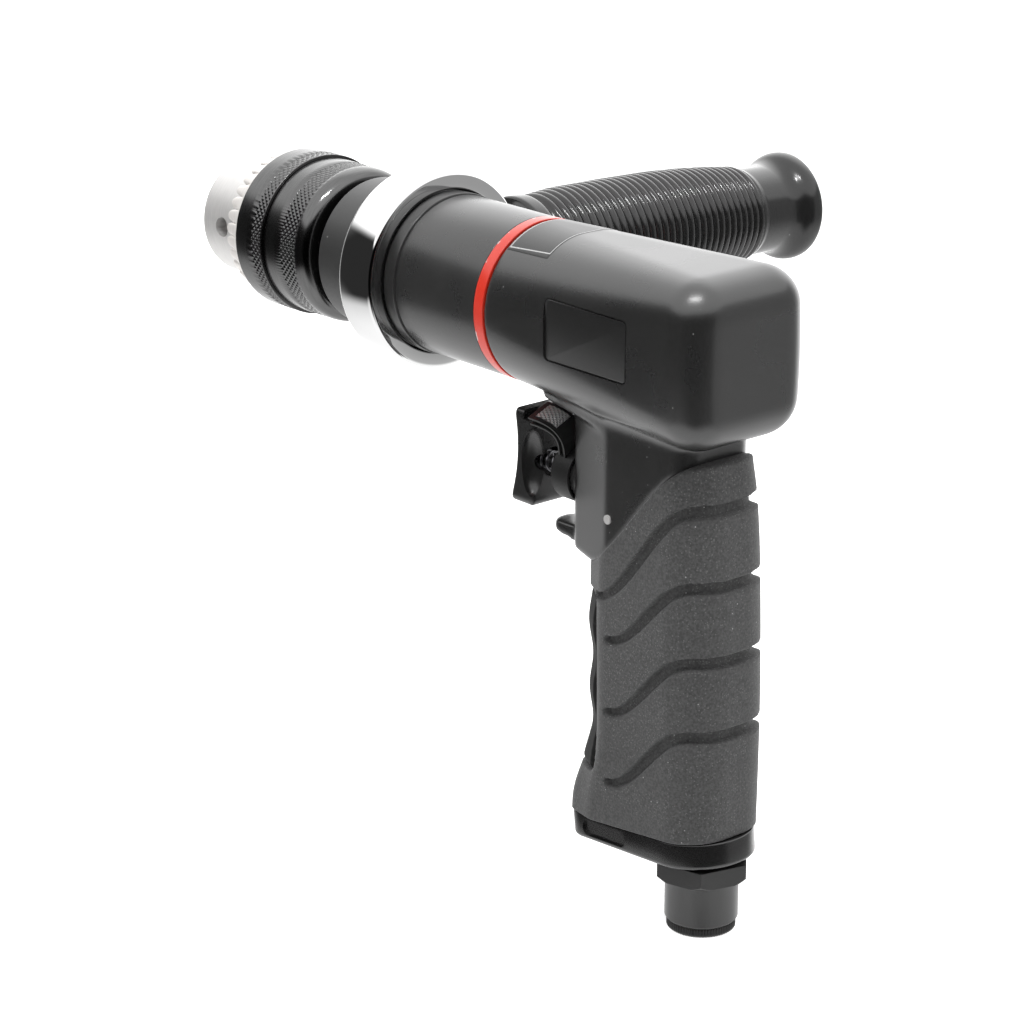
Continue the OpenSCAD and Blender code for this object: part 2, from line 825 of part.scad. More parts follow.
module gear_housing() {
    collar_x = red_ring_w + barrel_len;
    color([0.06, 0.06, 0.06]) at_ring() difference() {
        union() {
            bar(spigot_r, -spigot_len, collar_x);
            bar(barrel_r, red_ring_w, collar_x);
            bar(collar_seat_r, red_ring_w, nose_tip);
        }
        bar(gear_cavity_r, -spigot_len - cut, gear_cavity_end);
        bar(bearing_r + seat_gap, gear_cavity_end - cut, rear_bearing_x + bearing_w);
        bar(bearing_r - seat_lip, red_ring_w, nose_tip + cut);
        bar(bearing_r + seat_gap, front_bearing_x, nose_tip + cut);
    }
}

module spindle_seal() {
    color([0.1, 0.1, 0.1]) at_ring()
        tube(bearing_r, spindle_r + pass_gap, nose_tip - seal_w - pass_gap / 2, nose_tip - pass_gap / 2);
}

module spindle_rear_bearing() {
    color([0.7, 0.71, 0.73]) at_ring()
        ball_bearing(spindle_r + run_gap, bearing_r, bearing_w, bearing_race, bearing_balls, rear_bearing_x);
}

module spindle_front_bearing() {
    color([0.7, 0.71, 0.73]) at_ring()
        ball_bearing(spindle_r + run_gap, bearing_r, bearing_w, bearing_race, bearing_balls, front_bearing_x);
}

// Side handle

module handle_collar() {
    half = collar_w / 2 - run_gap;
    color([0.85, 0.86, 0.88]) at_collar() difference() {
        union() {
            bar(collar_r, -half + collar_edge, half - collar_edge);
            taper(collar_r - collar_edge, collar_r, -half, -half + collar_edge);
            taper(collar_r, collar_r - collar_edge, half - collar_edge, half);
            intersection() {
                rotate([90, 0, 0]) cylinder(r = collar_boss_r, h = handle_start - seat_gap);
                translate([-half, -handle_start, -collar_boss_r])
                    cube([2 * half, handle_start, 2 * collar_boss_r]);
            }
        }
        bar(collar_seat_r + run_gap, -half - cut, half + cut);
        rotate([90, 0, 0]) cylinder(r = stud_r + run_gap, h = handle_start + cut);
    }
}

module handle_stud() {
    tip = collar_seat_r + stud_tip_gap;
    color([0.6, 0.61, 0.63]) at_collar() rotate([90, 0, 0]) translate([0, 0, tip])
        cylinder(r = stud_r, h = handle_start + stud_len_in_grip - tip);
}

// Outline of the handle: [distance from the start, radius]
ribs_start = handle_flange_len + handle_dip_len;
ribs_len = handle_len * handle_rib_share;
rib_pitch = ribs_len / handle_ribs;
ribs_end = ribs_start + ribs_len;
knob_start = ribs_end + handle_len * handle_neck_share;
handle_end_share = 0.855;
handle_belly_shares = [[0, 0.93], [0.12, 0.985], [0.35, 1], [0.58, 1],
    [0.75, 0.965], [0.88, 0.915], [1, handle_end_share]];
neck_shares = [[0.75, 1], [1, 1.02]];
knob_shares = [[0.26, 0.9], [0.45, 0.98], [0.6, 1]];
dome_start_share = 0.62;
dome_step = 15;
function belly_r(s) = handle_r * lookup((s - ribs_start) / ribs_len, handle_belly_shares);
rib_outline = [for (k = [0 : handle_ribs - 1], j = [0 : rib_steps - 1]) let (
    s = ribs_start + (k + j / rib_steps) * rib_pitch)
    [belly_r(s) - rib_d * (1 - sin(180 * j / rib_steps)), s]];
knob_len = handle_len - knob_start;
knob_outline = concat(
    [[handle_r * handle_end_share, ribs_end]],
    [for (s = neck_shares) [handle_neck_r * s[1], ribs_end + (knob_start - ribs_end) * s[0]]],
    [for (s = knob_shares) [handle_knob_r * s[1], knob_start + knob_len * s[0]]]);
knob_dome = [for (a = [0 : dome_step : 90]) [
    handle_end_r + (handle_knob_r - handle_end_r) * cos(a),
    knob_start + knob_len * (dome_start_share + (1 - dome_start_share) * sin(a))]];

module handle_grip() {
    color([0.05, 0.05, 0.05]) at_collar() rotate([90, 0, 0]) translate([0, 0, handle_start]) difference() {
        rotate_extrude() polygon(concat(
            [[0, 0], [handle_flange_r - collar_edge, 0], [handle_flange_r, collar_edge],
                [handle_flange_r, handle_flange_len], [handle_flange_r - collar_edge, ribs_start - rib_d]],
            rib_outline, knob_outline, knob_dome, [[0, handle_len]]));
        translate([0, 0, -cut]) cylinder(r = stud_r + seat_gap, h = stud_len_in_grip + seat_gap + cut);
    }
}

// Chuck

// Jaw bore or jaw blank: a cylinder on the slanted axis of the upright jaw
module slanted_bar(r, start, length) {
    translate([0, 0, jaw_axis_mouth_r]) rotate([0, -90 + jaw_slant, 0])
        translate([0, 0, start]) cylinder(r = r, h = length);
}
jaw_start = jaw_back / cos(jaw_slant);
function jaw_side_r(x) = jaw_axis_mouth_r - x * tan(jaw_slant) + jaw_r / cos(jaw_slant);
nut_rear = nut_front - nut_w;
nut_slope_r = jaw_side_r(nut_front) + nut_clear;
nut_slope_rear_r = jaw_side_r(nut_rear) + nut_clear;

module chuck_body() {
    shoulder = sleeve_rear - sleeve_groove;
    color([0.12, 0.12, 0.125]) difference() {
        union() {
            bar(nose_r, shoulder - cut, -nose_edge_r);
            rotate([0, 90, 0]) rotate_extrude() {
                translate([0, -nose_edge_r]) square([nose_r - nose_edge_r, nose_edge_r]);
                intersection() {
                    translate([nose_r - nose_edge_r, -nose_edge_r]) circle(r = nose_edge_r);
                    translate([nose_r - nose_edge_r, -nose_edge_r]) square(nose_edge_r);
                }
            }
            bar(sleeve_pocket_r - run_gap, shoulder - cut, nut_rear - nut_float);
            bar(rear_ring_r, chuck_rear + ring_edge_r, shoulder);
            rotate([0, 90, 0]) rotate_extrude() {
                translate([0, chuck_rear]) square([rear_ring_r - ring_edge_r, ring_edge_r]);
                intersection() {
                    translate([rear_ring_r - ring_edge_r, chuck_rear + ring_edge_r]) circle(r = ring_edge_r);
                    translate([rear_ring_r - ring_edge_r, chuck_rear]) square(ring_edge_r);
                }
            }
        }
        bar(shank_r, -shank_depth, cut);
        bar(chuck_screw_head_r + run_gap, -screw_floor, 0);
        bar(chuck_screw_r + seat_gap, chuck_rear, 0);
        bar(chuck_thread_r + seat_gap, chuck_rear - cut, -screw_floor - chuck_web);
        around(jaw_angles) slanted_bar(jaw_r + run_gap, -jaw_start, 2 * jaw_start + jaw_len + seat_gap);
        around(key_angles) translate([key_hole_x, 0, key_hole_floor_r])
            cylinder(r = key_hole_r, h = nose_r);
        difference() {
            bar(sleeve_pocket_r + cut, nut_rear - nut_float, nut_front + nut_float);
            taper(nut_slope_rear_r - nut_float * 3, nut_slope_r - nut_float * 3,
                nut_rear - nut_float - seat_gap, nut_front + nut_float + seat_gap);
        }
    }
}

module chuck_sleeve() {
    band_front = sleeve_rear + sleeve_band_len;
    color([0.16, 0.16, 0.165]) difference() {
        union() {
            bar(sleeve_r, sleeve_rear + collar_edge / 2, band_front);
            taper(sleeve_r - collar_edge / 2, sleeve_r, sleeve_rear, sleeve_rear + collar_edge / 2);
            taper(sleeve_r - collar_edge / 2, sleeve_tooth_r, band_front, sleeve_front);
        }
        bar(nose_r + run_gap, sleeve_rear - cut, sleeve_front + cut);
        bar(sleeve_pocket_r, sleeve_rear - cut, nut_front + nut_float / 2);
        for (k = [1 : key_teeth]) rotate([k * 360 / key_teeth, 0, 0])
            translate([sleeve_front, 0, nose_r - cut]) linear_extrude(height = sleeve_r) polygon([
                [-tooth_depth, -tooth_floor_half_w], [-tooth_depth, tooth_floor_half_w],
                [cut, tooth_mouth_half_w], [cut, -tooth_mouth_half_w]]);
    }
}

module chuck_nut() {
    color([0.5, 0.5, 0.52]) difference() {
        bar(sleeve_pocket_r - seat_gap, nut_rear, nut_front);
        taper(nut_slope_rear_r, nut_slope_r, nut_rear - seat_gap, nut_front + seat_gap);
    }
}

// Upright jaw: a slanted rod whose inner side is a blunt wedge
module jaw() {
    apex = jaw_travel * sin(jaw_slant) + jaw_closed_gap;
    flat = (jaw_open_r - apex) * tan(60);
    far = sleeve_r;
    wide = (far - apex) * tan(60);
    intersection() {
        slanted_bar(jaw_r, jaw_start, jaw_len);
        translate([-chuck_len, 0, 0]) rotate([90, 0, 90]) linear_extrude(height = chuck_len) polygon([
            [-flat, jaw_open_r], [flat, jaw_open_r], [wide, far], [-wide, far]]);
    }
}

module chuck_jaw(k) {
    color([0.62, 0.62, 0.64]) around([jaw_angles[k]]) jaw();
}
module chuck_jaw_1() { chuck_jaw(0); }
module chuck_jaw_2() { chuck_jaw(1); }
module chuck_jaw_3() { chuck_jaw(2); }

module chuck_screw() {
    color([0.4, 0.4, 0.42]) difference() {
        union() {
            bar(chuck_screw_head_r, -screw_floor, -screw_floor + chuck_screw_head_h);
            bar(chuck_screw_r, -screw_floor - chuck_screw_len, -screw_floor);
        }
        translate([-screw_floor + chuck_screw_head_h / 2, -shank_r, -chuck_screw_slot / 2])
            cube([chuck_screw_head_h, 2 * shank_r, chuck_screw_slot]);
    }
}

// Gear train

module ring_gear() {
    pitch_r = gear_module * ring_teeth / 2;
    color([0.45, 0.46, 0.48]) at_ring() difference() {
        bar(ring_gear_wall_r, red_ring_w, second_x1 + seat_gap);
        translate([red_ring_w - cut, 0, 0]) rotate([90, 0, 90])
            rotate(90 + 180 / ring_teeth) linear_extrude(height = second_x1 - red_ring_w + 2 * cut)
                polygon(gear_outline(ring_teeth, pitch_r - addendum_share * gear_module,
                    pitch_r + dedendum_share * gear_module, -tooth_thin));
    }
}

module planet(k, x0, x1) {
    color([0.55, 0.56, 0.58]) at_ring() rotate([planet_angles[k] - 90, 0, 0])
        translate([0, 0, gear_orbit_r]) difference() {
            spur(planet_teeth, x0, x1, 1);
            bar(planet_pin_r + run_gap, x0 - cut, x1 + cut);
        }
}
module first_planet_1() { planet(0, first_x0, first_x1); }
module first_planet_2() { planet(1, first_x0, first_x1); }
module first_planet_3() { planet(2, first_x0, first_x1); }
module second_planet_1() { planet(0, second_x0, second_x1); }
module second_planet_2() { planet(1, second_x0, second_x1); }
module second_planet_3() { planet(2, second_x0, second_x1); }

module planet_pins(x0, x1) {
    color([0.72, 0.72, 0.74]) at_ring() around(planet_angles)
        translate([0, 0, gear_orbit_r]) bar(planet_pin_r, x0, x1);
}
module first_planet_pins() { planet_pins(first_x0, carrier_x1); }
module second_planet_pins() { planet_pins(second_x0, flange_x1); }

module first_carrier() {
    color([0.5, 0.5, 0.52]) at_ring() {
        difference() {
            bar(carrier_r, carrier_x0, carrier_x1);
            around(planet_angles) translate([0, 0, gear_orbit_r])
                bar(planet_pin_r + seat_gap, carrier_x0 - cut, carrier_x1 + cut);
        }
        spur(sun_teeth, carrier_x1 - seat_gap, second_x1, 0);
    }
}

module spindle() {
    end = chuck_rear - ring_rear;
    thread_end = -screw_floor - chuck_web - seat_gap - ring_rear;
    color([0.55, 0.55, 0.57]) at_ring() difference() {
        union() {
            bar(carrier_r, flange_x0, flange_x1);
            bar(spindle_r, flange_x0, end);
            bar(chuck_thread_r, flange_x0, thread_end);
        }
        around(planet_angles) translate([0, 0, gear_orbit_r])
            bar(planet_pin_r + seat_gap, flange_x0 - cut, flange_x1 + cut);
        bar(chuck_screw_r + seat_gap, thread_end + chuck_web - chuck_screw_len - seat_gap, thread_end + cut);
    }
}

// Motor

module rotor() {
    color([0.58, 0.58, 0.6]) at_ring() {
        difference() {
            bar(rotor_r, liner_x0 + rotor_end_gap, liner_x1 - rotor_end_gap);
            around(vane_turns) translate([liner_x0, -vane_t / 2 - vane_gap, rotor_r - vane_depth - vane_gap])
                cube([liner_len, vane_t + 2 * vane_gap, vane_depth + cut]);
        }
        bar(shaft_r, rear_plate_x0 + plate_lip, liner_x0 + rotor_end_gap);
        bar(shaft_r, liner_x1 - rotor_end_gap, red_ring_w);
        spur(sun_teeth, red_ring_w - seat_gap, first_x1, 0);
    }
}
vane_turns = [for (k = [1 : vane_count]) k * 360 / vane_count];

module rotor_vanes() {
    inset = rotor_end_gap + vane_gap;
    color([0.36, 0.24, 0.13]) at_ring() around(vane_turns)
        translate([liner_x0 + inset, -vane_t / 2, rotor_r - vane_depth])
            cube([liner_len - 2 * inset, vane_t, vane_depth - vane_gap]);
}

module cylinder_liner() {
    color([0.62, 0.62, 0.6]) at_ring() difference() {
        bar(liner_r, liner_x0, liner_x1);
        translate([0, 0, liner_offset]) bar(liner_bore_r, liner_x0 - cut, liner_x1 + cut);
        for (k = [1 : port_count]) translate([liner_x1 - (k + 0.5) * port_pitch, 0, -liner_r - cut])
            cylinder(r = port_r, h = liner_r);
    }
}

module end_plate(x0, x1, bearing_x0, bearing_x1) {
    color([0.5, 0.5, 0.5]) at_ring() difference() {
        bar(liner_r, x0, x1);
        bar(shaft_r + pass_gap, x0 - cut, x1 + cut);
        bar(rotor_bearing_r + seat_gap, bearing_x0, bearing_x1);
    }
}
front_pocket = front_plate_x1 - rotor_bearing_w - seat_gap;
rear_pocket = rear_plate_x0 + rotor_bearing_w + plate_lip + seat_gap;
module front_end_plate() { end_plate(liner_x1, front_plate_x1, front_pocket, front_plate_x1 + cut); }
module rear_end_plate() { end_plate(rear_plate_x0, liner_x0, rear_plate_x0 - cut, rear_pocket); }

module rotor_bearing(x0) {
    color([0.7, 0.71, 0.73]) at_ring() ball_bearing(shaft_r + run_gap, rotor_bearing_r,
        rotor_bearing_w, rotor_bearing_race, rotor_bearing_balls, x0);
}
module rotor_front_bearing() { rotor_bearing(front_pocket + seat_gap / 2); }
module rotor_rear_bearing() { rotor_bearing(rear_pocket - rotor_bearing_w - seat_gap / 2); }

// Trigger and throttle

module trigger() {
    color([0.06, 0.06, 0.06]) at_trigger() difference() {
        intersection() {
            translate([trigger_rear, -trigger_w / 2, trigger_top - trigger_h])
                cube([trigger_d, trigger_w, trigger_h]);
            bar(trigger_round_r, trigger_rear, trigger_front);
        }
        translate([trigger_front + trigger_hollow_r - trigger_hollow, 0, trigger_top - trigger_h / 2])
            rotate([90, 0, 0]) cylinder(r = trigger_hollow_r, h = 2 * trigger_w, center = true);
        for (side = [1, -1]) let (out = trigger_w / 2 + trigger_scoop_r - trigger_scoop)
            translate([trigger_rear, side * out, trigger_top - trigger_h / 2])
                sphere(r = trigger_scoop_r);
        bar(spring_pocket_r, trigger_rear - cut, trigger_rear + spring_pocket);
        bar(stem_r + seat_gap, trigger_rear, trigger_rear + spring_pocket + seat_gap + stem_r);
    }
}

module throttle_stem() {
    color([0.72, 0.72, 0.74]) at_trigger() bar(stem_r, -stem_tail, trigger_rear + spring_pocket + stem_r);
}

module throttle_poppet() {
    color([0.1, 0.1, 0.1]) at_trigger() difference() {
        bar(poppet_r, -stem_tail - poppet_len, -stem_tail + stem_r);
        bar(stem_r + seat_gap, -stem_tail - seat_gap, 0);
    }
}

// Spring: one tube wound from the lever's seat to the trigger's pocket
spring_x0 = -lever_back + lever_boss_w - lever_seat + seat_gap * 2;
spring_x1 = trigger_rear + spring_pocket - seat_gap * 2;
spring_wire_d = 2 * spring_wire_r;
spring_coil_len = spring_x1 - spring_x0 - 2 * spring_wire_d;
spring_steps = spring_turns * spring_rings;
spring_path = concat(
    [[spring_x0, spring_r, 0]],
    [for (k = [0 : spring_steps]) let (a = 360 * k / spring_rings) [
        spring_x0 + spring_wire_d + spring_coil_len * k / spring_steps,
        spring_r * cos(a), spring_r * sin(a)]],
    [[spring_x1, spring_r, 0]]);
function spring_heading(k) = let (
    a = spring_path[max(0, k - 1)],
    b = spring_path[min(len(spring_path) - 1, k + 1)])
    (k == 0 || k == len(spring_path) - 1) ? [1, 0, 0] : (b - a) / norm(b - a);
function spring_outward(k) = let (
    p = spring_path[k],
    out = [0, p[1], p[2]] / spring_r,
    t = spring_heading(k),
    flat = out - (out * t) * t)
    flat / norm(flat);
function spring_ring(k) = let (n = spring_outward(k), b = cross(spring_heading(k), n)) [
    for (j = [0 : spring_sides - 1]) let (a = 360 * j / spring_sides)
    spring_path[k] + spring_wire_r * (cos(a) * n + sin(a) * b)];
spring_self_gap = min([for (k = [0 : spring_steps - spring_rings])
    norm(spring_path[k + 1 + spring_rings] - spring_path[k + 1])]) - spring_wire_d;

module trigger_spring() {
    echo(spring_least_self_gap = spring_self_gap);
    color([0.75, 0.75, 0.77]) at_trigger() loft([for (k = [0 : len(spring_path) - 1]) spring_ring(k)]);
}

module throttle_bushing() {
    rear = -bushing_back - bushing_len;
    color([0.74, 0.6, 0.3]) at_trigger() difference() {
        bar(bush_r, rear, -bushing_back);
        bar(stem_hole_r, rear - cut, 0);
        bar(bushing_chamber_r, rear - cut, -bushing_back - bushing_seat);
        bar_across(pin_r + seat_gap);
        translate([-inlet_passage_back, 0, -2 * bush_r]) cylinder(r = feed_r, h = 2 * bush_r);
        seal_groove(seal_wire_r + seat_gap);
    }
}

module bar_across(r) {
    translate([-pin_back, 0, -pin_drop]) rotate([90, 0, 0])
        cylinder(r = r, h = 2 * (neck_half_w + pin_proud), center = true);
}

module seal_groove(r) {
    translate([-seal_back, 0, 0]) rotate([0, 90, 0]) rotate_extrude()
        translate([bush_r - seal_wire_r, 0]) circle(r = r, $fn = hull_fn);
}

module throttle_seal() {
    color([0.08, 0.08, 0.08]) at_trigger() seal_groove(seal_wire_r);
}

module valve_pin() {
    color([0.7, 0.7, 0.72]) at_trigger() bar_across(pin_r);
}

// Reverse lever: boss on the valve, arm up to the thumb pad
module reverse_lever() {
    boss_front = -lever_back + lever_boss_w;
    pad_low = lever_r - lever_pad_t;
    color([0.09, 0.09, 0.09]) at_trigger() difference() {
        union() {
            bar(lever_boss_r, -lever_back, boss_front);
            rotate([-lever_angle, 0, 0]) {
                translate([-lever_back + lever_arm_inset, -lever_arm_w / 2, 0])
                    cube([lever_boss_w - 2 * lever_arm_inset, lever_arm_w, lever_r - lever_pad_t / 2]);
                difference() {
                    translate([-lever_back, -lever_pad_w / 2, pad_low])
                        cube([lever_back + lever_pad_front, lever_pad_w, lever_pad_t]);
                    for (k = [1 : lever_ridges]) let (x = lever_pad_front - k * lever_ridge_pitch)
                        translate([x, -lever_pad_w, lever_r - lever_ridge_d])
                            cube([lever_ridge_w, 2 * lever_pad_w, 2 * lever_ridge_d]);
                }
            }
        }
        bar(stem_r + run_gap, -lever_back - cut, boss_front + cut);
        bar(spring_pocket_r, boss_front - lever_seat, boss_front + cut);
    }
}

module valve_sleeve() {
    color([0.74, 0.6, 0.3]) at_trigger() difference() {
        tube(bush_r, valve_r + run_gap, -bushing_back + seat_gap, -neck_front);
        for (side = [1, -1])
            translate([-feed_back, side * feed_side, 0]) cylinder(r = feed_r, h = 2 * bush_r);
    }
}

module reverse_valve() {
    front = -lever_back;
    color([0.74, 0.6, 0.3]) at_trigger() difference() {
        bar(valve_r, front - valve_len, front);
        bar(stem_hole_r, front - valve_len - cut, front + cut);
        translate([-feed_back, 0, 0]) rotate([lever_angle, 0, 0])
            cylinder(r = reverse_port_r, h = 2 * valve_r);
    }
}

// Base and inlet

// Outline of the base plate in its own plane, with the inlet's axis at zero
module base_outline(d) {
    hull() {
        circle(r = base_rear_r + d);
        for (side = [1, -1])
            translate([inlet_back - base_front - base_front_r, side * (base_half_w - base_front_r)])
                circle(r = base_front_r + d);
    }
}

// Blank panel with round ends, sunk in a side of the base plate
module base_panel() {
    end_r = base_panel_h / 2;
    rotate([90, 0, 0]) linear_extrude(height = 2 * base_panel_d, center = true) hull()
        for (x = [1, -1]) translate([x * (base_panel_len / 2 - end_r), 0]) circle(r = end_r);
}

module base_screw_bodies(d) {
    at_base() for (back = base_screw_backs) translate([inlet_back - back, 0, 0]) {
        translate([0, 0, -cut]) cylinder(r = base_screw_head_r + d, h = base_screw_head_h + cut + d);
        cylinder(r = base_screw_r + d, h = base_screw_len + d);
    }
}

module base_plate() {
    color([0.04, 0.04, 0.045]) difference() {
        at_base() difference() {
            linear_extrude(height = base_t - seat_gap) base_outline(0);
            for (side = [1, -1], y = base_slot_sides)
                translate([inlet_back - base_slot_back, side * y - base_slot_w / 2, -cut])
                    cube([base_slot_len, base_slot_w, base_t / 2 + cut]);
            for (side = [1, -1])
                translate([inlet_back - base_panel_back, side * base_half_w, base_t / 2])
                    base_panel();
        }
        base_screw_bodies(seat_gap);
        at_ring() {
            translate([-inlet_back, 0, -2 * inlet_hex_top]) {
                cylinder(r = inlet_stem_r + seat_gap, h = 2 * inlet_hex_top);
                cylinder(r = inlet_corner_r + pass_gap, h = inlet_hex_top + seat_gap);
            }
            for (side = [1, -1])
                translate([-exhaust_back, side * exhaust_side, -inlet_hex_top])
                    slot(exhaust_r, inlet_hex_top, hull_fn);
        }
    }
}

module base_screws() {
    color([0.3, 0.3, 0.31]) at_base() for (back = base_screw_backs)
        translate([inlet_back - back, 0, 0]) difference() {
            union() {
                cylinder(r = base_screw_head_r, h = base_screw_head_h);
                cylinder(r = base_screw_r, h = base_screw_len);
            }
            translate([0, 0, -cut]) cylinder(r = base_screw_r, h = cut + base_screw_head_h / 2, $fn = 6);
        }
}

module exhaust_silencers() {
    color([0.5, 0.45, 0.35]) at_ring() for (side = [1, -1])
        translate([-exhaust_back, side * exhaust_side, -grip_bottom + rubber_t])
            slot(exhaust_r, silencer_len, hull_fn);
}

// Inlet stem, hexagon and cylinder, in steps down from the hexagon's top
module inlet_bushing() {
    rim_top = -inlet_hex_h - inlet_len + inlet_rim_h;
    color([0.08, 0.08, 0.085]) at_ring() translate([-inlet_back, 0, -inlet_hex_top]) difference() {
        union() {
            cylinder(r = inlet_stem_r, h = inlet_stem_len);
            intersection() {
                translate([0, 0, -inlet_hex_h]) rotate(inlet_hex_turn)
                    cylinder(r = inlet_corner_r, h = inlet_hex_h, $fn = 6);
                translate([0, 0, -inlet_hex_h]) cylinder(r1 = inlet_flats / 2 + inlet_hex_edge,
                    r2 = inlet_flats / 2 + inlet_hex_edge + inlet_hex_h, h = inlet_hex_h);
            }
            translate([0, 0, rim_top + inlet_edge]) cylinder(r = inlet_r, h = -rim_top - inlet_edge);
            translate([0, 0, rim_top]) cylinder(r1 = inlet_r - inlet_edge, r2 = inlet_r, h = inlet_edge);
            translate([0, 0, rim_top - inlet_rim_h])
                cylinder(r = inlet_rim_r - inlet_rim_wall, h = inlet_rim_h + cut);
        }
        translate([0, 0, rim_top - inlet_rim_h - cut])
            cylinder(r = inlet_hole_r, h = inlet_thread_len + cut);
        translate([0, 0, rim_top]) cylinder(r = inlet_throat_r, h = 2 * inlet_stem_len);
        translate([0, 0, base_t]) difference() {
            cylinder(r = inlet_stem_r + cut, h = 2 * inlet_seal_wire_r);
            translate([0, 0, -cut])
                cylinder(r = inlet_stem_r - 2 * inlet_seal_wire_r, h = 2 * (inlet_seal_wire_r + cut));
        }
    }
}

// Knurled rim ring at the mouth of the inlet
module inlet_rim() {
    low = -inlet_hex_h - inlet_len;
    color([0.1, 0.1, 0.1]) at_ring() translate([-inlet_back, 0, -inlet_hex_top + low]) difference() {
        linear_extrude(height = inlet_rim_h - seat_gap) polygon([for (k = [0 : 2 * rim_teeth - 1])
            polar(inlet_rim_r - (k % 2) * rim_tooth_d, k * 180 / rim_teeth)]);
        translate([0, 0, -cut])
            cylinder(r = inlet_rim_r - inlet_rim_wall + seat_gap, h = inlet_rim_h + 2 * cut);
    }
}

module inlet_screen() {
    rings = 3;
    color([0.7, 0.7, 0.72]) at_ring()
        translate([-inlet_back, 0, -inlet_hex_top + inlet_stem_len]) difference() {
            cylinder(r = inlet_stem_r - seat_gap, h = screen_t);
            for (k = [1 : rings], j = [1 : 6 * k]) rotate(j * 60 / k)
                translate([k * screen_pitch, 0, -cut])
                    cylinder(r = screen_hole_r, h = screen_t + 2 * cut, $fn = passage_fn);
        }
}

module inlet_seal() {
    color([0.08, 0.08, 0.08]) at_ring()
        translate([-inlet_back, 0, -inlet_hex_top + base_t + inlet_seal_wire_r]) rotate_extrude()
            translate([inlet_stem_r - inlet_seal_wire_r, 0])
                circle(r = inlet_seal_wire_r - seat_gap, $fn = hull_fn);
}

motor_housing();
rubber_grip();
side_badge();
red_ring();
gear_housing();
handle_collar();
handle_stud();
handle_grip();
chuck_body();
chuck_sleeve();
chuck_nut();
chuck_jaw_1();
chuck_jaw_2();
chuck_jaw_3();
chuck_screw();
spindle();
spindle_rear_bearing();
spindle_front_bearing();
spindle_seal();
ring_gear();
first_carrier();
first_planet_pins();
second_planet_pins();
first_planet_1();
first_planet_2();
first_planet_3();
second_planet_1();
second_planet_2();
second_planet_3();
rotor();
rotor_vanes();
cylinder_liner();
front_end_plate();
rear_end_plate();
rotor_front_bearing();
rotor_rear_bearing();
trigger();
throttle_stem();
throttle_poppet();
trigger_spring();
throttle_bushing();
throttle_seal();
reverse_lever();
reverse_valve();
valve_sleeve();
valve_pin();
base_plate();
base_screws();
exhaust_silencers();
inlet_bushing();
inlet_rim();
inlet_screen();
inlet_seal();
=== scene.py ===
# %% [markdown]
# # An air drill, dressed over its working frame
# The frame holds the drill's real pieces, joints and sizes. This lesson models the surfaces that the
# eye and the hand meet, and gives every piece its finish. Shapes are written in millimetres, as on a
# maker's drawing, and become metres when their mesh is made.

import json
from math import ceil, cos, hypot, pi, radians, sin, sqrt, tan

import bmesh
import bpy
from mathutils import Matrix, Vector


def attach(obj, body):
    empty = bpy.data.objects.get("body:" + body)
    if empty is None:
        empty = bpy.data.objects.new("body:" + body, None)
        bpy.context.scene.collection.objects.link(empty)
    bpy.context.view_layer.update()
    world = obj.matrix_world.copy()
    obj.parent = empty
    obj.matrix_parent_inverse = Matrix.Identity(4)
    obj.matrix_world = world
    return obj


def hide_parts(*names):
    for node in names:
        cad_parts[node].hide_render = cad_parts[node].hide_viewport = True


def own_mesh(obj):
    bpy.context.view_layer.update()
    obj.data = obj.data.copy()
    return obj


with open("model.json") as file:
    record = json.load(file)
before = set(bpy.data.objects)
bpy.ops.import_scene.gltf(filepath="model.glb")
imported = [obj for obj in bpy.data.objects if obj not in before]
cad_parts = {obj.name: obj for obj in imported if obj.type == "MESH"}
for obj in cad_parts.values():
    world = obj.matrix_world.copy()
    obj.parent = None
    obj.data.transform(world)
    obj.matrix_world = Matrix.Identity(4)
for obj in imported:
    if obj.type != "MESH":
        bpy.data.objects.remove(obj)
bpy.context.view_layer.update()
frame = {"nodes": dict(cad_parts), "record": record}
scene = bpy.context.scene
nodes = frame["nodes"]
MM = 0.001
RING_REAR = -137.5

# %% [markdown]
# ## Camera
# A long lens far away flattens the drill as a product photograph does. Blender's camera looks down its
# own -Z axis, so a direction becomes a rotation with to_track_quat.

# %% Camera
CAMERA_PLACE = Vector((-0.79142, 0.57341, 0.23516))
CAMERA_AIM = Vector((0.71805, -0.61651, -0.32300))
camera = bpy.data.objects.new("camera", bpy.data.cameras.new("camera"))
camera.location = CAMERA_PLACE
camera.rotation_euler = CAMERA_AIM.to_track_quat("-Z", "Y").to_euler()
camera.data.lens = 114.6
camera.data.sensor_width = 36.0
scene.collection.objects.link(camera)
scene.camera = camera
print("camera", camera.data.lens, "mm")

# %% [markdown]
# ## Shader sums
# Nodes are easier to read as sums. Wire wraps an output socket, so that 1 - mask adds a Math node by
# itself, and Shading adds every other node with one method.

# %% Shader sums


class Wire:
    """An output socket that takes part in sums."""

    def __init__(self, shading, socket):
        self.shading = shading
        self.socket = socket

    def sum(self, operation, first, second=0.0):
        settings = {"operation": operation}
        return self.shading.node("ShaderNodeMath", settings, {0: first, 1: second})

    def __add__(self, other):
        return self.sum("ADD", self, other)

    def __sub__(self, other):
        return self.sum("SUBTRACT", self, other)

    def __rsub__(self, other):
        return self.sum("SUBTRACT", other, self)

    def __mul__(self, other):
        return self.sum("MULTIPLY", self, other)

    def __lt__(self, other):
        return self.sum("LESS_THAN", self, other)

    def __abs__(self):
        return self.sum("ABSOLUTE", self)

    __radd__ = __add__
    __rmul__ = __mul__


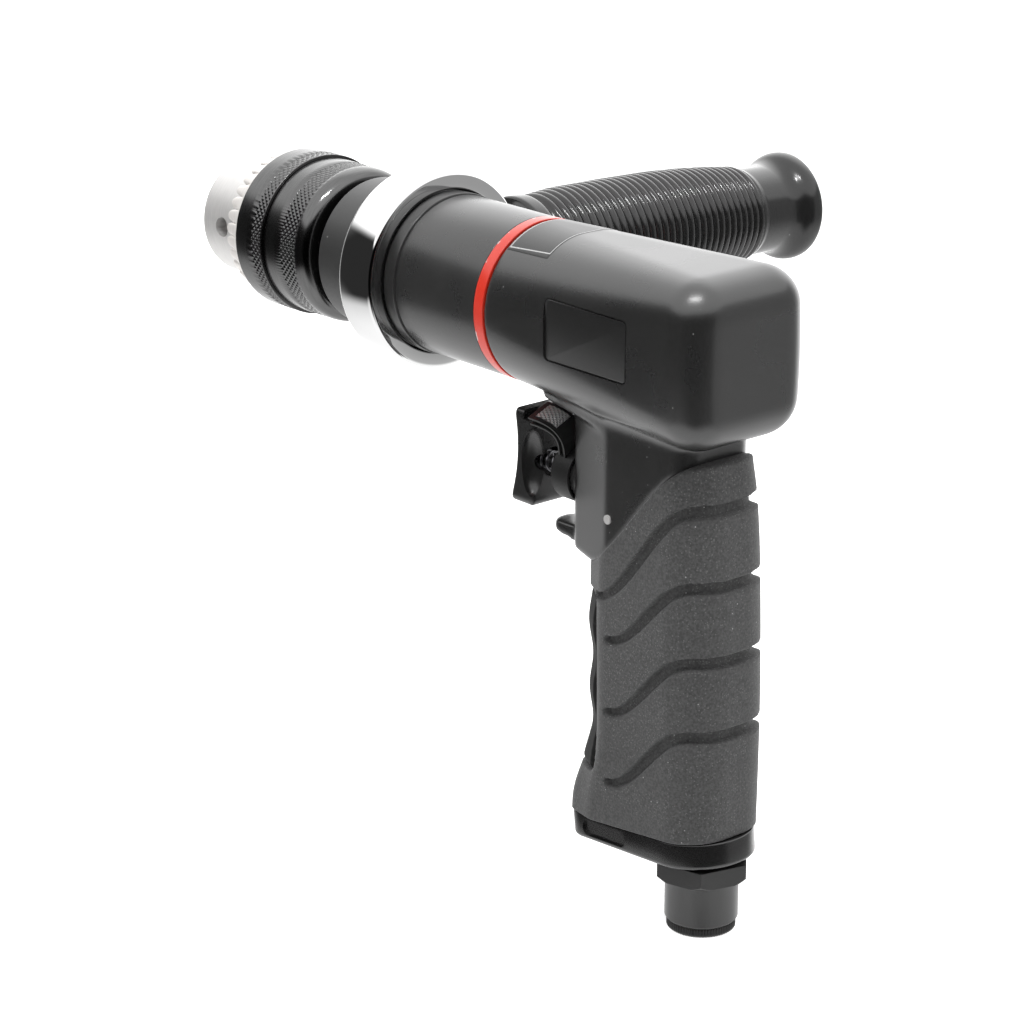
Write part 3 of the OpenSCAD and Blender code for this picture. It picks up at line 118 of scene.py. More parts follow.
class Shading:
    """A node tree that is filled node by node."""

    def __init__(self, tree, place):
        self.tree = tree
        self.place = self.node("ShaderNodeTexCoord", output=place)

    def node(self, kind, settings=None, sockets=None, output=0):
        made = self.tree.nodes.new(kind)
        for key, value in (settings or {}).items():
            setattr(made, key, value)
        for key, value in (sockets or {}).items():
            if isinstance(value, Wire):
                self.tree.links.new(value.socket, made.inputs[key])
            else:
                made.inputs[key].default_value = value
        return Wire(self, made.outputs[output])

    def axis(self, name):
        return self.node("ShaderNodeSeparateXYZ", None, {0: self.place}, name)

    def ramp(self, wire, low, high):
        settings = {"interpolation_type": "SMOOTHSTEP"}
        return self.node("ShaderNodeMapRange", settings, {0: wire, 1: low, 2: high})

    def tint(self, mask, first, second):
        settings = {"data_type": "RGBA"}
        return self.node("ShaderNodeMix", settings, {0: mask, 6: first, 7: second}, 2)


print("shader sums ready")

# %% [markdown]
# ## Finishes
# A finish starts from constants on the Principled shader, and wires then vary colour, roughness and
# relief. Noise in Object coordinates sticks to the piece, and its scale counts features per metre.

# %% Finish helper
GREY = (1.0, 1.0, 1.0)
COLLAR_FRONT = -80.5


def colour(level, tone=GREY):
    return (level * tone[0], level * tone[1], level * tone[2], 1.0)


class Finish(Shading):
    """One material of the drill."""

    def __init__(self, name, **constants):
        self.material = bpy.data.materials.new(name)
        self.material.use_nodes = True
        tree = self.material.node_tree
        self.shader = tree.nodes["Principled BSDF"]
        super().__init__(tree, "Object")
        for key, value in constants.items():
            self.shader.inputs[key.replace("_", " ")].default_value = value

    def feed(self, socket, wire):
        self.tree.links.new(wire.socket, self.shader.inputs[socket])

    def noise(self, scale, detail=2.0, stretch=None):
        place = self.place
        if stretch:
            place = self.node("ShaderNodeMapping", None, {0: place, 3: stretch})
        sockets = {"Vector": place, "Scale": scale, "Detail": detail}
        return self.node("ShaderNodeTexNoise", None, sockets)

    def specks(self, scale, size, share):
        sockets = {"Vector": self.place, "Scale": scale}
        cell = self.node("ShaderNodeTexVoronoi", None, sockets)
        pick = self.node("ShaderNodeTexVoronoi", None, sockets, "Color")
        return (cell < size) * (pick < share)

    def vary(self, socket, wire, low, high):
        self.feed(socket, wire * (high - low) + low)

    def relief(self, height, depth, strength=1.0):
        settings = {"Strength": strength, "Distance": depth * MM, "Height": height}
        self.feed("Normal", self.node("ShaderNodeBump", None, settings))


def moulded(name, level, rough, grain, dust, depth, gloss=0.8):
    """Black moulded plastic: fine grain, uneven gloss and a little dust."""
    finish = Finish(name, Specular_IOR_Level=gloss)
    cloud = finish.noise(60, 3.0)
    shade = finish.tint(cloud, colour(level * 0.8), colour(level * 1.25))
    specks = finish.specks(420, 0.07, dust)
    finish.feed("Base Color", finish.tint(specks, shade, colour(0.16)))
    finish.vary("Roughness", finish.noise(35, 4.0), rough - 0.05, rough + 0.05)
    finish.relief(finish.noise(grain, 3.0), depth)
    return finish.material


def enamel(name, level, rough, dust):
    """Gloss black paint with faint orange peel, and satin on the nose."""
    finish = Finish(name, Specular_IOR_Level=0.7, Coat_Weight=0.1, Coat_Roughness=0.08)
    haze = finish.noise(90, 4.0)
    shade = finish.tint(haze, colour(level * 0.8), colour(level * 1.2))
    specks = finish.specks(300, 0.06, dust)
    finish.feed("Base Color", finish.tint(specks, shade, colour(0.22)))
    satin = finish.ramp(finish.axis("X"), (COLLAR_FRONT - 0.5) * MM, COLLAR_FRONT * MM)
    finish.vary("Roughness", haze * 0.4 + satin, rough - 0.06, rough + 0.16)
    finish.relief(finish.noise(700, 2.0), 0.01)
    return finish.material


def turned(name, tone, rough, depth, metal=1.0):
    """Metal from the lathe: fine rings that run round the drill's axis."""
    finish = Finish(name, Metallic=metal)
    rings = finish.noise(420, 3.0, (9.0, 0.6, 0.6))
    finish.feed("Base Color", finish.tint(rings, colour(0.86, tone), colour(1.08, tone)))
    finish.vary("Roughness", finish.noise(70, 3.0), rough - 0.05, rough + 0.07)
    finish.relief(rings, depth)
    return finish.material


print("finish helpers ready")

# %% Finishes of the housings
HOUSING = moulded("housing_satin", 0.011, 0.28, 2600, 0.2, 0.018, 1.0)
BADGE = moulded("badge_satin", 0.009, 0.3, 2400, 0.15, 0.012)
TRIGGER = moulded("trigger_satin", 0.01, 0.28, 2400, 0.15, 0.012)
LEVER = moulded("lever_gloss", 0.009, 0.45, 1800, 0.12, 0.006, 0.3)
HANDLE = moulded("handle_gloss", 0.009, 0.18, 1500, 0.12, 0.006, 0.6)
BASE = moulded("base_gloss", 0.008, 0.2, 900, 0.15, 0.003)
BARREL = enamel("barrel_enamel", 0.016, 0.3, 0.2)
INLET = moulded("inlet_oxide", 0.014, 0.36, 2200, 0.15, 0.012)
FINGER = moulded("finger_matte", 0.006, 0.6, 2200, 0.1, 0.012, 0.2)
print("housing finishes", HOUSING.name, BARREL.name, HANDLE.name, INLET.name)

# %% [markdown]
# ## Rubber
# The grip's rubber is matte and dark grey, with a very fine tooth and pale specks of dust. Two sizes
# of specks look truer than one. A little sheen lifts the edges as dusty rubber does.

# %% Rubber


def rubber(name, level, rough):
    finish = Finish(name, Specular_IOR_Level=0.35, Sheen_Weight=0.08, Sheen_Roughness=0.5)
    cloud = finish.noise(28, 4.0)
    grain = finish.ramp(finish.noise(1500, 2.0), 0.3, 0.7) * 0.6 + cloud * 0.4
    shade = finish.tint(grain, colour(level * 0.55), colour(level * 1.45))
    fine = finish.specks(1500, 0.3, 0.38)
    coarse = finish.specks(520, 0.1, 0.18)
    shade = finish.tint(fine, shade, colour(level * 2.0))
    finish.feed("Base Color", finish.tint(coarse, shade, colour(level * 5)))
    finish.vary("Roughness", cloud, rough - 0.05, rough + 0.06)
    tooth = finish.noise(3200, 2.0) * 0.6 + finish.noise(900, 2.0) * 0.4
    finish.relief(tooth, 0.1)
    return finish.material


RUBBER = rubber("grip_rubber", 0.034, 0.72)
SEAL = rubber("seal_rubber", 0.02, 0.6)
print("rubber finishes", RUBBER.name, SEAL.name)

# %% [markdown]
# ## Metals
# The chuck has three metals: a bright ground nose, warm bare steel at the key teeth and blackened
# steel elsewhere. The chrome collar is nearly a mirror, so it lives from faint smudges.

# %% Metals
TEETH_FRONT = -17.5
TEETH_REAR = -24.6
GLOSS_FRONT = -53.0
RING_FRONT = -133.7


def blackened(name):
    """Blackened steel: bare at the teeth in front, glossier behind the knurl."""
    finish = Finish(name, Metallic=1.0)
    rings = finish.noise(380, 3.0, (8.0, 0.5, 0.5))
    black = finish.tint(rings, colour(0.1), colour(0.16))
    bare = finish.tint(rings, colour(0.62, (1.0, 0.95, 0.91)), colour(0.8, (1.0, 0.97, 0.94)))
    along = finish.axis("X") + finish.noise(160, 3.0) * 0.0008
    edge = (TEETH_REAR - 0.7) * MM
    teeth = finish.ramp(along, edge - 0.15 * MM, edge + 0.15 * MM)
    finish.feed("Base Color", finish.tint(teeth, black, bare))
    finish.feed("Metallic", 1 - teeth * 0.3)
    gloss = 1 - finish.ramp(along, (GLOSS_FRONT - 0.6) * MM, GLOSS_FRONT * MM)
    uneven = finish.noise(80, 3.0) * 0.4 + teeth * 1.0
    finish.vary("Roughness", uneven - gloss * 0.3, 0.19, 0.44)
    finish.relief(rings, 0.006)
    return finish.material


def mirror(name):
    finish = Finish(name, Metallic=1.0)
    smudge = finish.noise(45, 5.0)
    finish.feed("Base Color", finish.tint(smudge, colour(0.72), colour(0.82)))
    finish.vary("Roughness", finish.ramp(smudge, 0.45, 0.75), 0.03, 0.11)
    finish.relief(finish.noise(500, 2.0), 0.002)
    return finish.material


def red_paint(name):
    """Gloss red paint, chipped to silver along the ring's front edge."""
    finish = Finish(name, Coat_Weight=0.2, Coat_Roughness=0.1)
    cloud = finish.noise(120, 3.0)
    paint = finish.tint(cloud, (0.36, 0.018, 0.008, 1.0), (0.43, 0.022, 0.01, 1.0))
    near_edge = finish.ramp(finish.axis("X"), (RING_FRONT - 0.8) * MM, (RING_FRONT - 0.1) * MM)
    chips = near_edge * finish.ramp(finish.noise(150, 4.0), 0.57, 0.6)
    finish.feed("Base Color", finish.tint(chips, paint, colour(0.75)))
    finish.feed("Metallic", chips)
    finish.vary("Roughness", cloud, 0.24, 0.36)
    return finish.material


CHUCK_BLACK = blackened("chuck_blackened")
CHUCK_BRIGHT = turned("chuck_ground", (0.68, 0.67, 0.66), 0.48, 0.008, 0.78)
STEEL = turned("steel_ground", (0.55, 0.55, 0.57), 0.3, 0.005)
IRON = turned("iron_ground", (0.33, 0.33, 0.34), 0.42, 0.008)
BRONZE = turned("bronze_turned", (0.62, 0.44, 0.2), 0.3, 0.005)
SPRING = turned("spring_wire", (0.2, 0.2, 0.21), 0.3, 0.002)
PAD = turned("pad_steel", (0.42, 0.42, 0.42), 0.5, 0.012)
CHROME = mirror("collar_chrome")
RED = red_paint("ring_red")
print("metals", CHUCK_BLACK.name, CHUCK_BRIGHT.name, CHROME.name, RED.name)

# %% Finishes of the inner pieces


def laminate(name):
    """Resin-bound cloth of the motor's vanes."""
    finish = Finish(name)
    layers = finish.noise(500, 2.0, (1.0, 1.0, 7.0))
    finish.feed("Base Color", finish.tint(layers, (0.16, 0.08, 0.03, 1.0), (0.3, 0.17, 0.07, 1.0)))
    finish.vary("Roughness", layers, 0.4, 0.6)
    return finish.material


def felt(name):
    finish = Finish(name, Sheen_Weight=0.3)
    fibre = finish.noise(1500, 4.0)
    finish.feed("Base Color", finish.tint(fibre, (0.28, 0.25, 0.19, 1.0), (0.5, 0.45, 0.36, 1.0)))
    finish.vary("Roughness", fibre, 0.85, 0.98)
    finish.relief(fibre, 0.2)
    return finish.material


VANES = laminate("vane_laminate")
FELT = felt("silencer_felt")
print("inner finishes", VANES.name, FELT.name)

# %% [markdown]
# ## Mesh helpers
# Three helpers make most of the drill: a lathe that spins a profile, a grid that is wrapped over a
# formula, and a taut band round circles, which gives the sections of the body and the grip. A piece
# is made in millimetres and scaled once, when it becomes an object.

# %% Mesh helpers


def mix(first, second, share):
    return first + (second - first) * share


def eased(share):
    share = max(0.0, min(1.0, share))
    return share * share * (3 - 2 * share)


def stepped(table, share):
    """Value at a share in rows of (share, value)."""
    for (low, first), (high, second) in zip(table, table[1:]):
        if share <= high:
            return mix(first, second, max(0.0, (share - low) / (high - low)))
    return table[-1][1]


def rounded(corners, steps=6):
    """Profile through (x, r, edge) corners, each rounded by its edge."""
    points = []
    for before, (x, r, edge), after in zip([corners[0]] + corners, corners, corners[1:] + corners[-1:]):
        here = Vector((x, r))
        start = here + (Vector(before[:2]) - here).normalized() * edge
        end = here + (Vector(after[:2]) - here).normalized() * edge
        for k in range(steps + 1 if edge else 1):
            share = k / steps
            points.append(mix(mix(start, here, share), mix(here, end, share), share))
    return points


def closed(bm):
    bmesh.ops.remove_doubles(bm, verts=bm.verts, dist=0.0005)
    bmesh.ops.recalc_face_normals(bm, faces=bm.faces)
    return bm


def lathe(profile, steps=128):
    """Spins (x, r) points round the X axis."""
    bm = bmesh.new()
    verts = [bm.verts.new((x, 0, r)) for x, r in profile]
    edges = [bm.edges.new(pair) for pair in zip(verts, verts[1:])]
    bmesh.ops.spin(
        bm, geom=verts + edges, cent=(0, 0, 0), axis=(1, 0, 0), angle=2 * pi, steps=steps, use_merge=True
    )
    return closed(bm)


def wrapped(columns, rows, place):
    """Grid whose corner (u, v), each from 0 to 1, moves to place(u, v)."""
    bm = bmesh.new()
    bmesh.ops.create_grid(bm, x_segments=columns, y_segments=rows, size=0.5)
    for vert in bm.verts:
        vert.co = place(vert.co.x + 0.5, vert.co.y + 0.5)
    return bm


def capped(bm):
    """Closes a wrapped tube: its seam first, then its two ends."""
    bmesh.ops.remove_doubles(bm, verts=bm.verts, dist=0.0005)
    rims = [edge for edge in bm.edges if edge.is_boundary]
    bmesh.ops.holes_fill(bm, edges=rims)
    bmesh.ops.recalc_face_normals(bm, faces=bm.faces)
    return bm


def band(circles, grown=0.0, count=720):
    """Points and normals of a taut band round circles (x, y, r), from the rear."""
    ring = []
    for k in range(count + 1):
        angle = pi + 2 * pi * k / count
        nx, ny = cos(angle), sin(angle)
        x, y, r = max(circles, key=lambda c: c[0] * nx + c[1] * ny + c[2])
        ring.append((x + (r + grown) * nx, y + (r + grown) * ny, nx, ny))
    return ring


def spaced(ring, count):
    """The same band at count + 1 points of equal spacing."""
    lengths = [0.0]
    for a, b in zip(ring, ring[1:]):
        lengths.append(lengths[-1] + hypot(b[0] - a[0], b[1] - a[1]))
    points = []
    at = 0
    for k in range(count + 1):
        target = lengths[-1] * k / count
        while at < len(ring) - 2 and lengths[at + 1] < target:
            at += 1
        step = lengths[at + 1] - lengths[at]
        share = min(1.0, (target - lengths[at]) / step) if step else 0.0
        points.append(tuple(mix(a, b, share) for a, b in zip(ring[at], ring[at + 1])))
    return points


def shaded(obj, sharp):
    obj.data.shade_smooth()
    obj.data.set_sharp_from_angle(angle=radians(sharp))


def as_object(bm, name):
    """Turns a mesh in millimetres into an object in metres."""
    bmesh.ops.scale(bm, vec=(MM, MM, MM), verts=bm.verts)
    mesh = bpy.data.meshes.new(name)
    bm.to_mesh(mesh)
    bm.free()
    obj = bpy.data.objects.new(name, mesh)
    scene.collection.objects.link(obj)
    return obj


def piece(bm, name, finish, body, slot, *replaced, sharp=35):
    """Turns a mesh in millimetres into a piece that rides on a body."""
    obj = as_object(bm, name)
    obj.data.materials.append(finish)
    shaded(obj, sharp)
    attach(obj, body)
    if replaced:
        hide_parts(*replaced)
    print(name, len(obj.data.polygons), "faces")
    return obj


def placed(bm, place):
    bmesh.ops.transform(bm, matrix=place, verts=bm.verts)
    return bm


def rod(radius, length, place):
    """Cylinder along its own Z axis, put in its place by a matrix."""
    bm = bmesh.new()
    bmesh.ops.create_cone(bm, cap_ends=True, segments=48, radius1=radius, radius2=radius, depth=length)
    return placed(bm, place)


def block(size, middle):
    """Box of a size about its middle."""
    bm = bmesh.new()
    bmesh.ops.create_cube(bm, size=1.0)
    bmesh.ops.scale(bm, vec=size, verts=bm.verts)
    bmesh.ops.translate(bm, vec=middle, verts=bm.verts)
    return bm


def prism(ring, count, height):
    """Outline at count points of a band, extruded upwards."""
    bm = bmesh.new()
    outline = [bm.verts.new((p[0], p[1], 0)) for p in spaced(ring, count)[:-1]]
    grown = bmesh.ops.extrude_face_region(bm, geom=[bm.faces.new(outline)])
    lifted = [v for v in grown["geom"] if isinstance(v, bmesh.types.BMVert)]
    bmesh.ops.translate(bm, vec=(0, 0, height), verts=lifted)
    return bm


def bevelled(bm, edges, width, segments):
    bmesh.ops.bevel(
        bm, geom=edges, offset=width, offset_type="OFFSET", affect="EDGES", segments=segments, profile=0.5,
        material=-1,
    )


def settled(obj, sharp=35):
    """Applies what the modifiers made."""
    graph = bpy.context.evaluated_depsgraph_get()
    mesh = bpy.data.meshes.new_from_object(obj.evaluated_get(graph))
    obj.modifiers.clear()
    obj.data = mesh
    shaded(obj, sharp)


def carved(obj, bm, operation="DIFFERENCE", sharp=35):
    """Cuts a shape in millimetres out of a piece, or joins it."""
    tool = as_object(bm, "tool")
    mesh = tool.data
    cut = obj.modifiers.new("cut", "BOOLEAN")
    cut.operation = operation
    cut.solver = "EXACT"
    cut.object = tool
    settled(obj, sharp)
    bpy.data.objects.remove(tool)
    bpy.data.meshes.remove(mesh)


print("mesh helpers ready")

# %% [markdown]
# ## Barrel and red ring
# The gear housing is a turned black barrel with a slimmer nose for the handle collar. A lip and a fine
# groove finish its front end. One spun profile makes it all.

# %% Barrel and red ring
BARREL_R = 23.0
NOSE_R = 21.7
NOSE_FRONT = -62.5
COLLAR_REAR = -94.7
barrel = rounded(
    [
        (NOSE_FRONT, 13.0, 0.0),
        (NOSE_FRONT, NOSE_R, 1.0),
        (COLLAR_REAR + 0.1, NOSE_R, 0.0),
        (COLLAR_REAR - 0.3, BARREL_R + 0.35, 0.5),
        (COLLAR_REAR - 4.6, BARREL_R + 0.35, 0.25),
        (COLLAR_REAR - 4.8, BARREL_R - 0.4, 0.1),
        (COLLAR_REAR - 5.2, BARREL_R - 0.4, 0.1),
        (COLLAR_REAR - 5.5, BARREL_R, 0.2),
        (RING_FRONT + 0.05, BARREL_R, 0.25),
        (RING_FRONT + 0.05, BARREL_R - 2.4, 0.0),
    ]
)
piece(lathe(barrel, 192), "barrel", BARREL, "drill_body", "barrel_black", "gear_housing")
ring = rounded(
    [
        (RING_FRONT - 0.05, BARREL_R - 2.4, 0.0),
        (RING_FRONT - 0.05, BARREL_R + 0.05, 0.3),
        (RING_REAR + 0.05, BARREL_R + 0.05, 0.3),
        (RING_REAR + 0.05, BARREL_R - 2.4, 0.0),
    ]
)
piece(lathe(ring, 192), "painted_ring", RED, "drill_body", "ring_red", "red_ring")

# %% [markdown]
# ## Handle collar and side handle
# The collar is a polished ring with a boss for the handle's stud. The handle is spun along X first,
# then turned to its own axis, which droops a little. Each rib is one wave of the profile.

# %% Collar
COLLAR_MID = -87.6
COLLAR_R = 28.3
HANDLE_AXIS = Vector((0, -0.99956, -0.029666))
handle_turn = HANDLE_AXIS.to_track_quat("X", "Z").to_matrix().to_4x4()
TO_HANDLE = Matrix.Translation((COLLAR_MID, 0, 0)) @ handle_turn
COLLAR_HALF_W = 7.1
BOSS_START = 23.5
BOSS_END = 30.5
BOSS_R = 11.5
front = COLLAR_MID + COLLAR_HALF_W
rear = COLLAR_MID - COLLAR_HALF_W
bore = NOSE_R + 0.06
collar = rounded(
    [
        (front, bore + 1.0, 0.0),
        (front, COLLAR_R, 1.3),
        (rear, COLLAR_R, 1.3),
        (rear, bore + 2.2, 0.3),
        (rear + 1.6, bore, 0.0),
        (front - 1.0, bore, 0.0),
        (front, bore + 1.0, 0.0),
    ]
)
collar = piece(lathe(collar, 256), "collar_ring", CHROME, "collar", "collar_chrome", "handle_collar")
boss = rounded([(BOSS_START, 0, 0), (BOSS_START, BOSS_R, 0), (BOSS_END, BOSS_R, 0.9), (BOSS_END, 0, 0)])
boss = lathe(boss, 96)
carved(collar, placed(boss, TO_HANDLE), "UNION", 30)

# %% Side handle
HANDLE_START = 30.6
HANDLE_LEN = 115.0
FLANGE_W = 6.0
RIB_START = HANDLE_START + FLANGE_W + 2.0
RIB_SPAN = 82.0
RIBS = 31
RIB_DEPTH = 0.95
RIB_POINTS = 10
BELLY_R = 17.3
KNOB_R = 17.0
NECK_R = 13.6
belly = [(0, 0.93), (0.12, 0.985), (0.35, 1.0), (0.58, 1.0), (0.75, 0.965), (0.88, 0.915), (1, 0.855)]


def ribbed(share):
    """Radius along the ribs: a belly less narrow valleys."""
    wave = abs(sin(pi * RIBS * share)) ** 0.7
    return BELLY_R * stepped(belly, share) - RIB_DEPTH * (1 - wave)


rib_points = [
    (RIB_START + RIB_SPAN * k / (RIBS * RIB_POINTS), ribbed(k / (RIBS * RIB_POINTS)))
    for k in range(RIBS * RIB_POINTS + 1)
]
flange = rounded(
    [
        (HANDLE_START, 8.0, 0.0),
        (HANDLE_START, 16.5, 1.6),
        (HANDLE_START + FLANGE_W, 16.5, 1.8),
        (HANDLE_START + FLANGE_W + 1.0, 14.6, 0.4),
    ]
)
handle_end = HANDLE_START + HANDLE_LEN
knob_start = RIB_START + RIB_SPAN
knob = rounded(
    [
        (knob_start + 0.9, NECK_R + 0.5, 0.3),
        (knob_start + 2.4, NECK_R, 0.5),
        (handle_end - 10.5, NECK_R - 0.2, 3.0),
        (handle_end - 6.0, KNOB_R, 2.4),
        (handle_end - 1.6, KNOB_R - 0.4, 1.9),
        (handle_end, 12.0, 1.5),
        (handle_end - 0.3, 0.0, 0.0),
    ],
    10,
)
handle = placed(lathe(flange + rib_points + knob, 144), TO_HANDLE)
piece(handle, "ribbed_handle", HANDLE, "side_handle", "handle_black", "handle_grip", sharp=50)

# %% [markdown]
# ## Chuck
# The chuck's bright nose is spun, and three key holes are cut in it. The sleeve and the rear ring carry
# diamond knurls. A knurl is a field of small pyramids: its height falls to the nearer of two sets of
# slanted grooves, so a grid wrapped round the ring can follow it.

# %% Chuck nose
CHUCK_BORE = 6.75
CHUCK_NOSE_R = 18.0
KEY_HOLE_X = -10.5
KEY_HOLE_R = 3.0
KEY_HOLE_LEN = 12.0
nose = rounded(
    [
        (-36.0, CHUCK_BORE, 0.0),
        (-1.4, CHUCK_BORE, 0.0),
        (0.0, CHUCK_BORE + 1.4, 0.3),
        (0.0, CHUCK_NOSE_R, 2.2),
        (-38.2, CHUCK_NOSE_R, 0.0),
        (-38.2, 8.0, 0.0),
        (-36.0, CHUCK_BORE, 0.0),
    ]
)
nose = piece(lathe(nose, 160), "chuck_nose", CHUCK_BRIGHT, "output_spindle", "chuck_steel", "chuck_body")
for k in range(3):
    turn = Matrix.Rotation(radians(120 * k - 90), 4, "X")
    lift = Matrix.Translation((KEY_HOLE_X, 0, CHUCK_NOSE_R - KEY_HOLE_R))
    carved(nose, rod(KEY_HOLE_R, KEY_HOLE_LEN, turn @ lift))

# %% Knurled sleeve and rear ring
DIAMONDS = 80
KNURL_PITCH = 1.9
KNURL_DEPTH = 0.34
AROUND = 816
KEY_TEETH = 34
TOOTH_DEPTH = 4.8
SLEEVE_REAR = -37.9
SLEEVE_R = 24.0
SLEEVE_BORE = 18.2
SLEEVE_KNURL = (-37.4, -33.4)
REAR_RING_FRONT = -38.1
REAR_RING_END = -58.0
REAR_RING_R = 23.1
REAR_RING_BORE = 8.5
REAR_RING_KNURL = (-52.6, -45.9)


def knurl(turn, x, low, high):
    """Groove depth at a share of a turn, between two stations."""
    if not low < x < high:
        return 0.0
    lines = [(turn * DIAMONDS + side * x / KNURL_PITCH) % 1.0 for side in (1, -1)]
    away = min(min(line, 1 - line) for line in lines)
    return KNURL_DEPTH * (1 - min(1.0, away / 0.32))


def stations(profile, zones, least_r=0.0, longest=3.0):
    """Profile with short steps in the zones (low, high, step), outside a radius."""
    points = [profile[0]]
    for a, b in zip(profile, profile[1:]):
        middle = (a.x + b.x) / 2
        inside = [step for low, high, step in zones if low <= middle <= high and a.y > least_r]
        limit = min(inside, default=longest)
        steps = max(1, ceil((b - a).length / limit))
        points += [mix(a, b, (k + 1) / steps) for k in range(steps)]
    return points


def knurled(profile, low, high, move=None):
    """Ring from a profile, with a knurl between two stations."""
    rows = len(profile) - 1

    def place(u, v):
        x, r = profile[round(v * rows)]
        if move:
            x = move(u, x)
        r -= knurl(u, x, low, high)
        return Vector((x, r * cos(2 * pi * u), r * sin(2 * pi * u)))

    return closed(wrapped(AROUND, rows, place))


def tooth_wave(u, x):
    """Draws the front edge back between the key teeth."""
    if x < TEETH_REAR:
        return x
    away = abs(2 * (KEY_TEETH * u % 1.0) - 1)
    valley = 1 - sqrt(max(0.0, 1 - away**2.4))
    reach = (x - TEETH_REAR) / (TEETH_FRONT - TEETH_REAR)
    return x - TOOTH_DEPTH * reach * valley


sleeve = stations(
    rounded(
        [
            (SLEEVE_REAR, SLEEVE_BORE, 0.0),
            (SLEEVE_REAR, SLEEVE_R, 0.3),
            (-33.2, SLEEVE_R, 0.0),
            (-25.6, SLEEVE_R, 0.5),
            (-25.1, 23.3, 0.2),
            (TEETH_FRONT, 21.4, 0.9),
            (TEETH_FRONT, 18.1, 0.0),
            (TEETH_REAR, 18.08, 0.0),
            (SLEEVE_REAR, SLEEVE_BORE, 0.0),
        ]
    ),
    [(-37.6, -33.2, 0.25), (-25.2, -17.4, 0.5)],
)
piece(
    knurled(sleeve, *SLEEVE_KNURL, tooth_wave), "key_sleeve", CHUCK_BLACK, "key_sleeve", "chuck_black",
    "chuck_sleeve", sharp=60,
)
rear_ring = stations(
    rounded(
        [
            (REAR_RING_FRONT, 17.9, 0.0),
            (REAR_RING_FRONT, REAR_RING_R, 0.25),
            (-45.8, REAR_RING_R, 0.0),
            (-52.8, REAR_RING_R, 0.0),
            (REAR_RING_END, REAR_RING_R - 0.3, 4.2),
            (REAR_RING_END, REAR_RING_BORE, 0.0),
            (REAR_RING_FRONT, REAR_RING_BORE, 0.0),
            (REAR_RING_FRONT, 17.9, 0.0),
        ]
    ),
    [(-52.9, -45.7, 0.25)],
    least_r=20.0,
)
piece(
    knurled(rear_ring, *REAR_RING_KNURL), "chuck_rear_ring", CHUCK_BLACK, "output_spindle", "chuck_steel",
    sharp=60,
)

# %% [markdown]
# ## Motor housing
# The housing is one moulding: a body that goes from round at the red ring to a soft square at the rear,
# a neck under it and a small guard. Each form is a wrapped grid. A voxel remesh joins them, and smoothing
# leaves the soft inner corner that a mould has. The badge's pocket is cut last, so its edge stays crisp.

# %% Housing forms
BODY_LEN = 82.0
REAR_EDGE = 10.5
BODY_HALF_W = 21.0
BODY_CROWN = 1.6
BODY_DROP = 23.5
BODY_COLUMNS = 160
BODY_ROWS = 70


def body_ring(back):
    """Section of the body, and how much its rear edge draws it in."""
    straight = BODY_LEN - REAR_EDGE
    share = min(1.0, back / straight)
    corner = mix(BARREL_R, REAR_EDGE, share)
    across = share * (BODY_HALF_W - REAR_EDGE)
    up = share * (BARREL_R - REAR_EDGE)
    down = share * (BODY_DROP - REAR_EDGE)
    past = max(0.0, back - straight)
    drawn = REAR_EDGE - sqrt(max(0.0, REAR_EDGE**2 - past**2))
    circles = [(across, up), (-across, up), (across, -down), (-across, -down)]
    return band([(y, z, corner) for y, z in circles], -drawn * 0.96)


def loft(columns, rows, ring_at, place):
    """Wrapped tube through rings that ring_at(v) gives."""
    rings = [spaced(ring_at(k / rows), columns) for k in range(rows + 1)]

    def corner(u, v):
        return place(rings[round(v * rows)][round(u * columns)], v)

    return wrapped(columns, rows, corner)


def body_back(v):
    """Stations crowd where the rear edge turns."""
    straight = BODY_LEN - REAR_EDGE
    if v < 0.6:
        return straight * v / 0.6
    return straight + REAR_EDGE * sin((v - 0.6) / 0.4 * pi / 2)


def crowned(y, z, back):
    """Lets the sides swell a little at the middle of their height."""
    share = min(1.0, back / (BODY_LEN - REAR_EDGE))
    return y * (1 + BODY_CROWN * share * max(0.0, 1 - (z / BODY_DROP) ** 2) / BODY_HALF_W)


def body_place(point, v):
    back = body_back(v)
    return Vector((RING_REAR - back, crowned(point[0], point[1], back), point[1]))


NECK_TOP = -12.0
NECK_LOW = -76.0
NECK_FILLET = 4.5
NECK_FLARE = -19.5
NECK_HIDE = 3.2
NECK_CIRCLES = [(-61, 5.5, 9), (-41.5, 11.5, 3)]
LIP_Z = -26.3
LIP_XS = (-22.0, -9.0)
GRIP_TOP = 28.5
S_REAR = -74.0
S_FRONT = -30.0
S_DROP = 35.5


def top_depth(x):
    """Depth of the rubber's upper edge, an S in side view."""
    return GRIP_TOP + S_DROP * eased((x - S_REAR) / (S_FRONT - S_REAR))


def neck_z(v):
    return mix(NECK_TOP, NECK_LOW, v)


def neck_ring(v):
    """Section of the neck: a lip under the body, and drawn in where the rubber hides it."""
    z = neck_z(v)
    turn = max(0.0, min(1.0, 1 + (z - NECK_FLARE) / NECK_FILLET))
    lip = mix(*LIP_XS, eased((z - LIP_Z) / 1.6))
    circles = NECK_CIRCLES + [(lip, 4.4, 3.2)]
    grown = NECK_FILLET * (1 - sqrt(1 - turn**2))
    return band([(x, side * y, r) for side in (1, -1) for x, y, r in circles], grown)


def neck_place(point, v):
    x, y, nx, ny = point
    under = NECK_HIDE * eased((-neck_z(v) - top_depth(x) - 0.8) / 1.6)
    return Vector((RING_REAR + x - nx * under, y - ny * under, neck_z(v)))


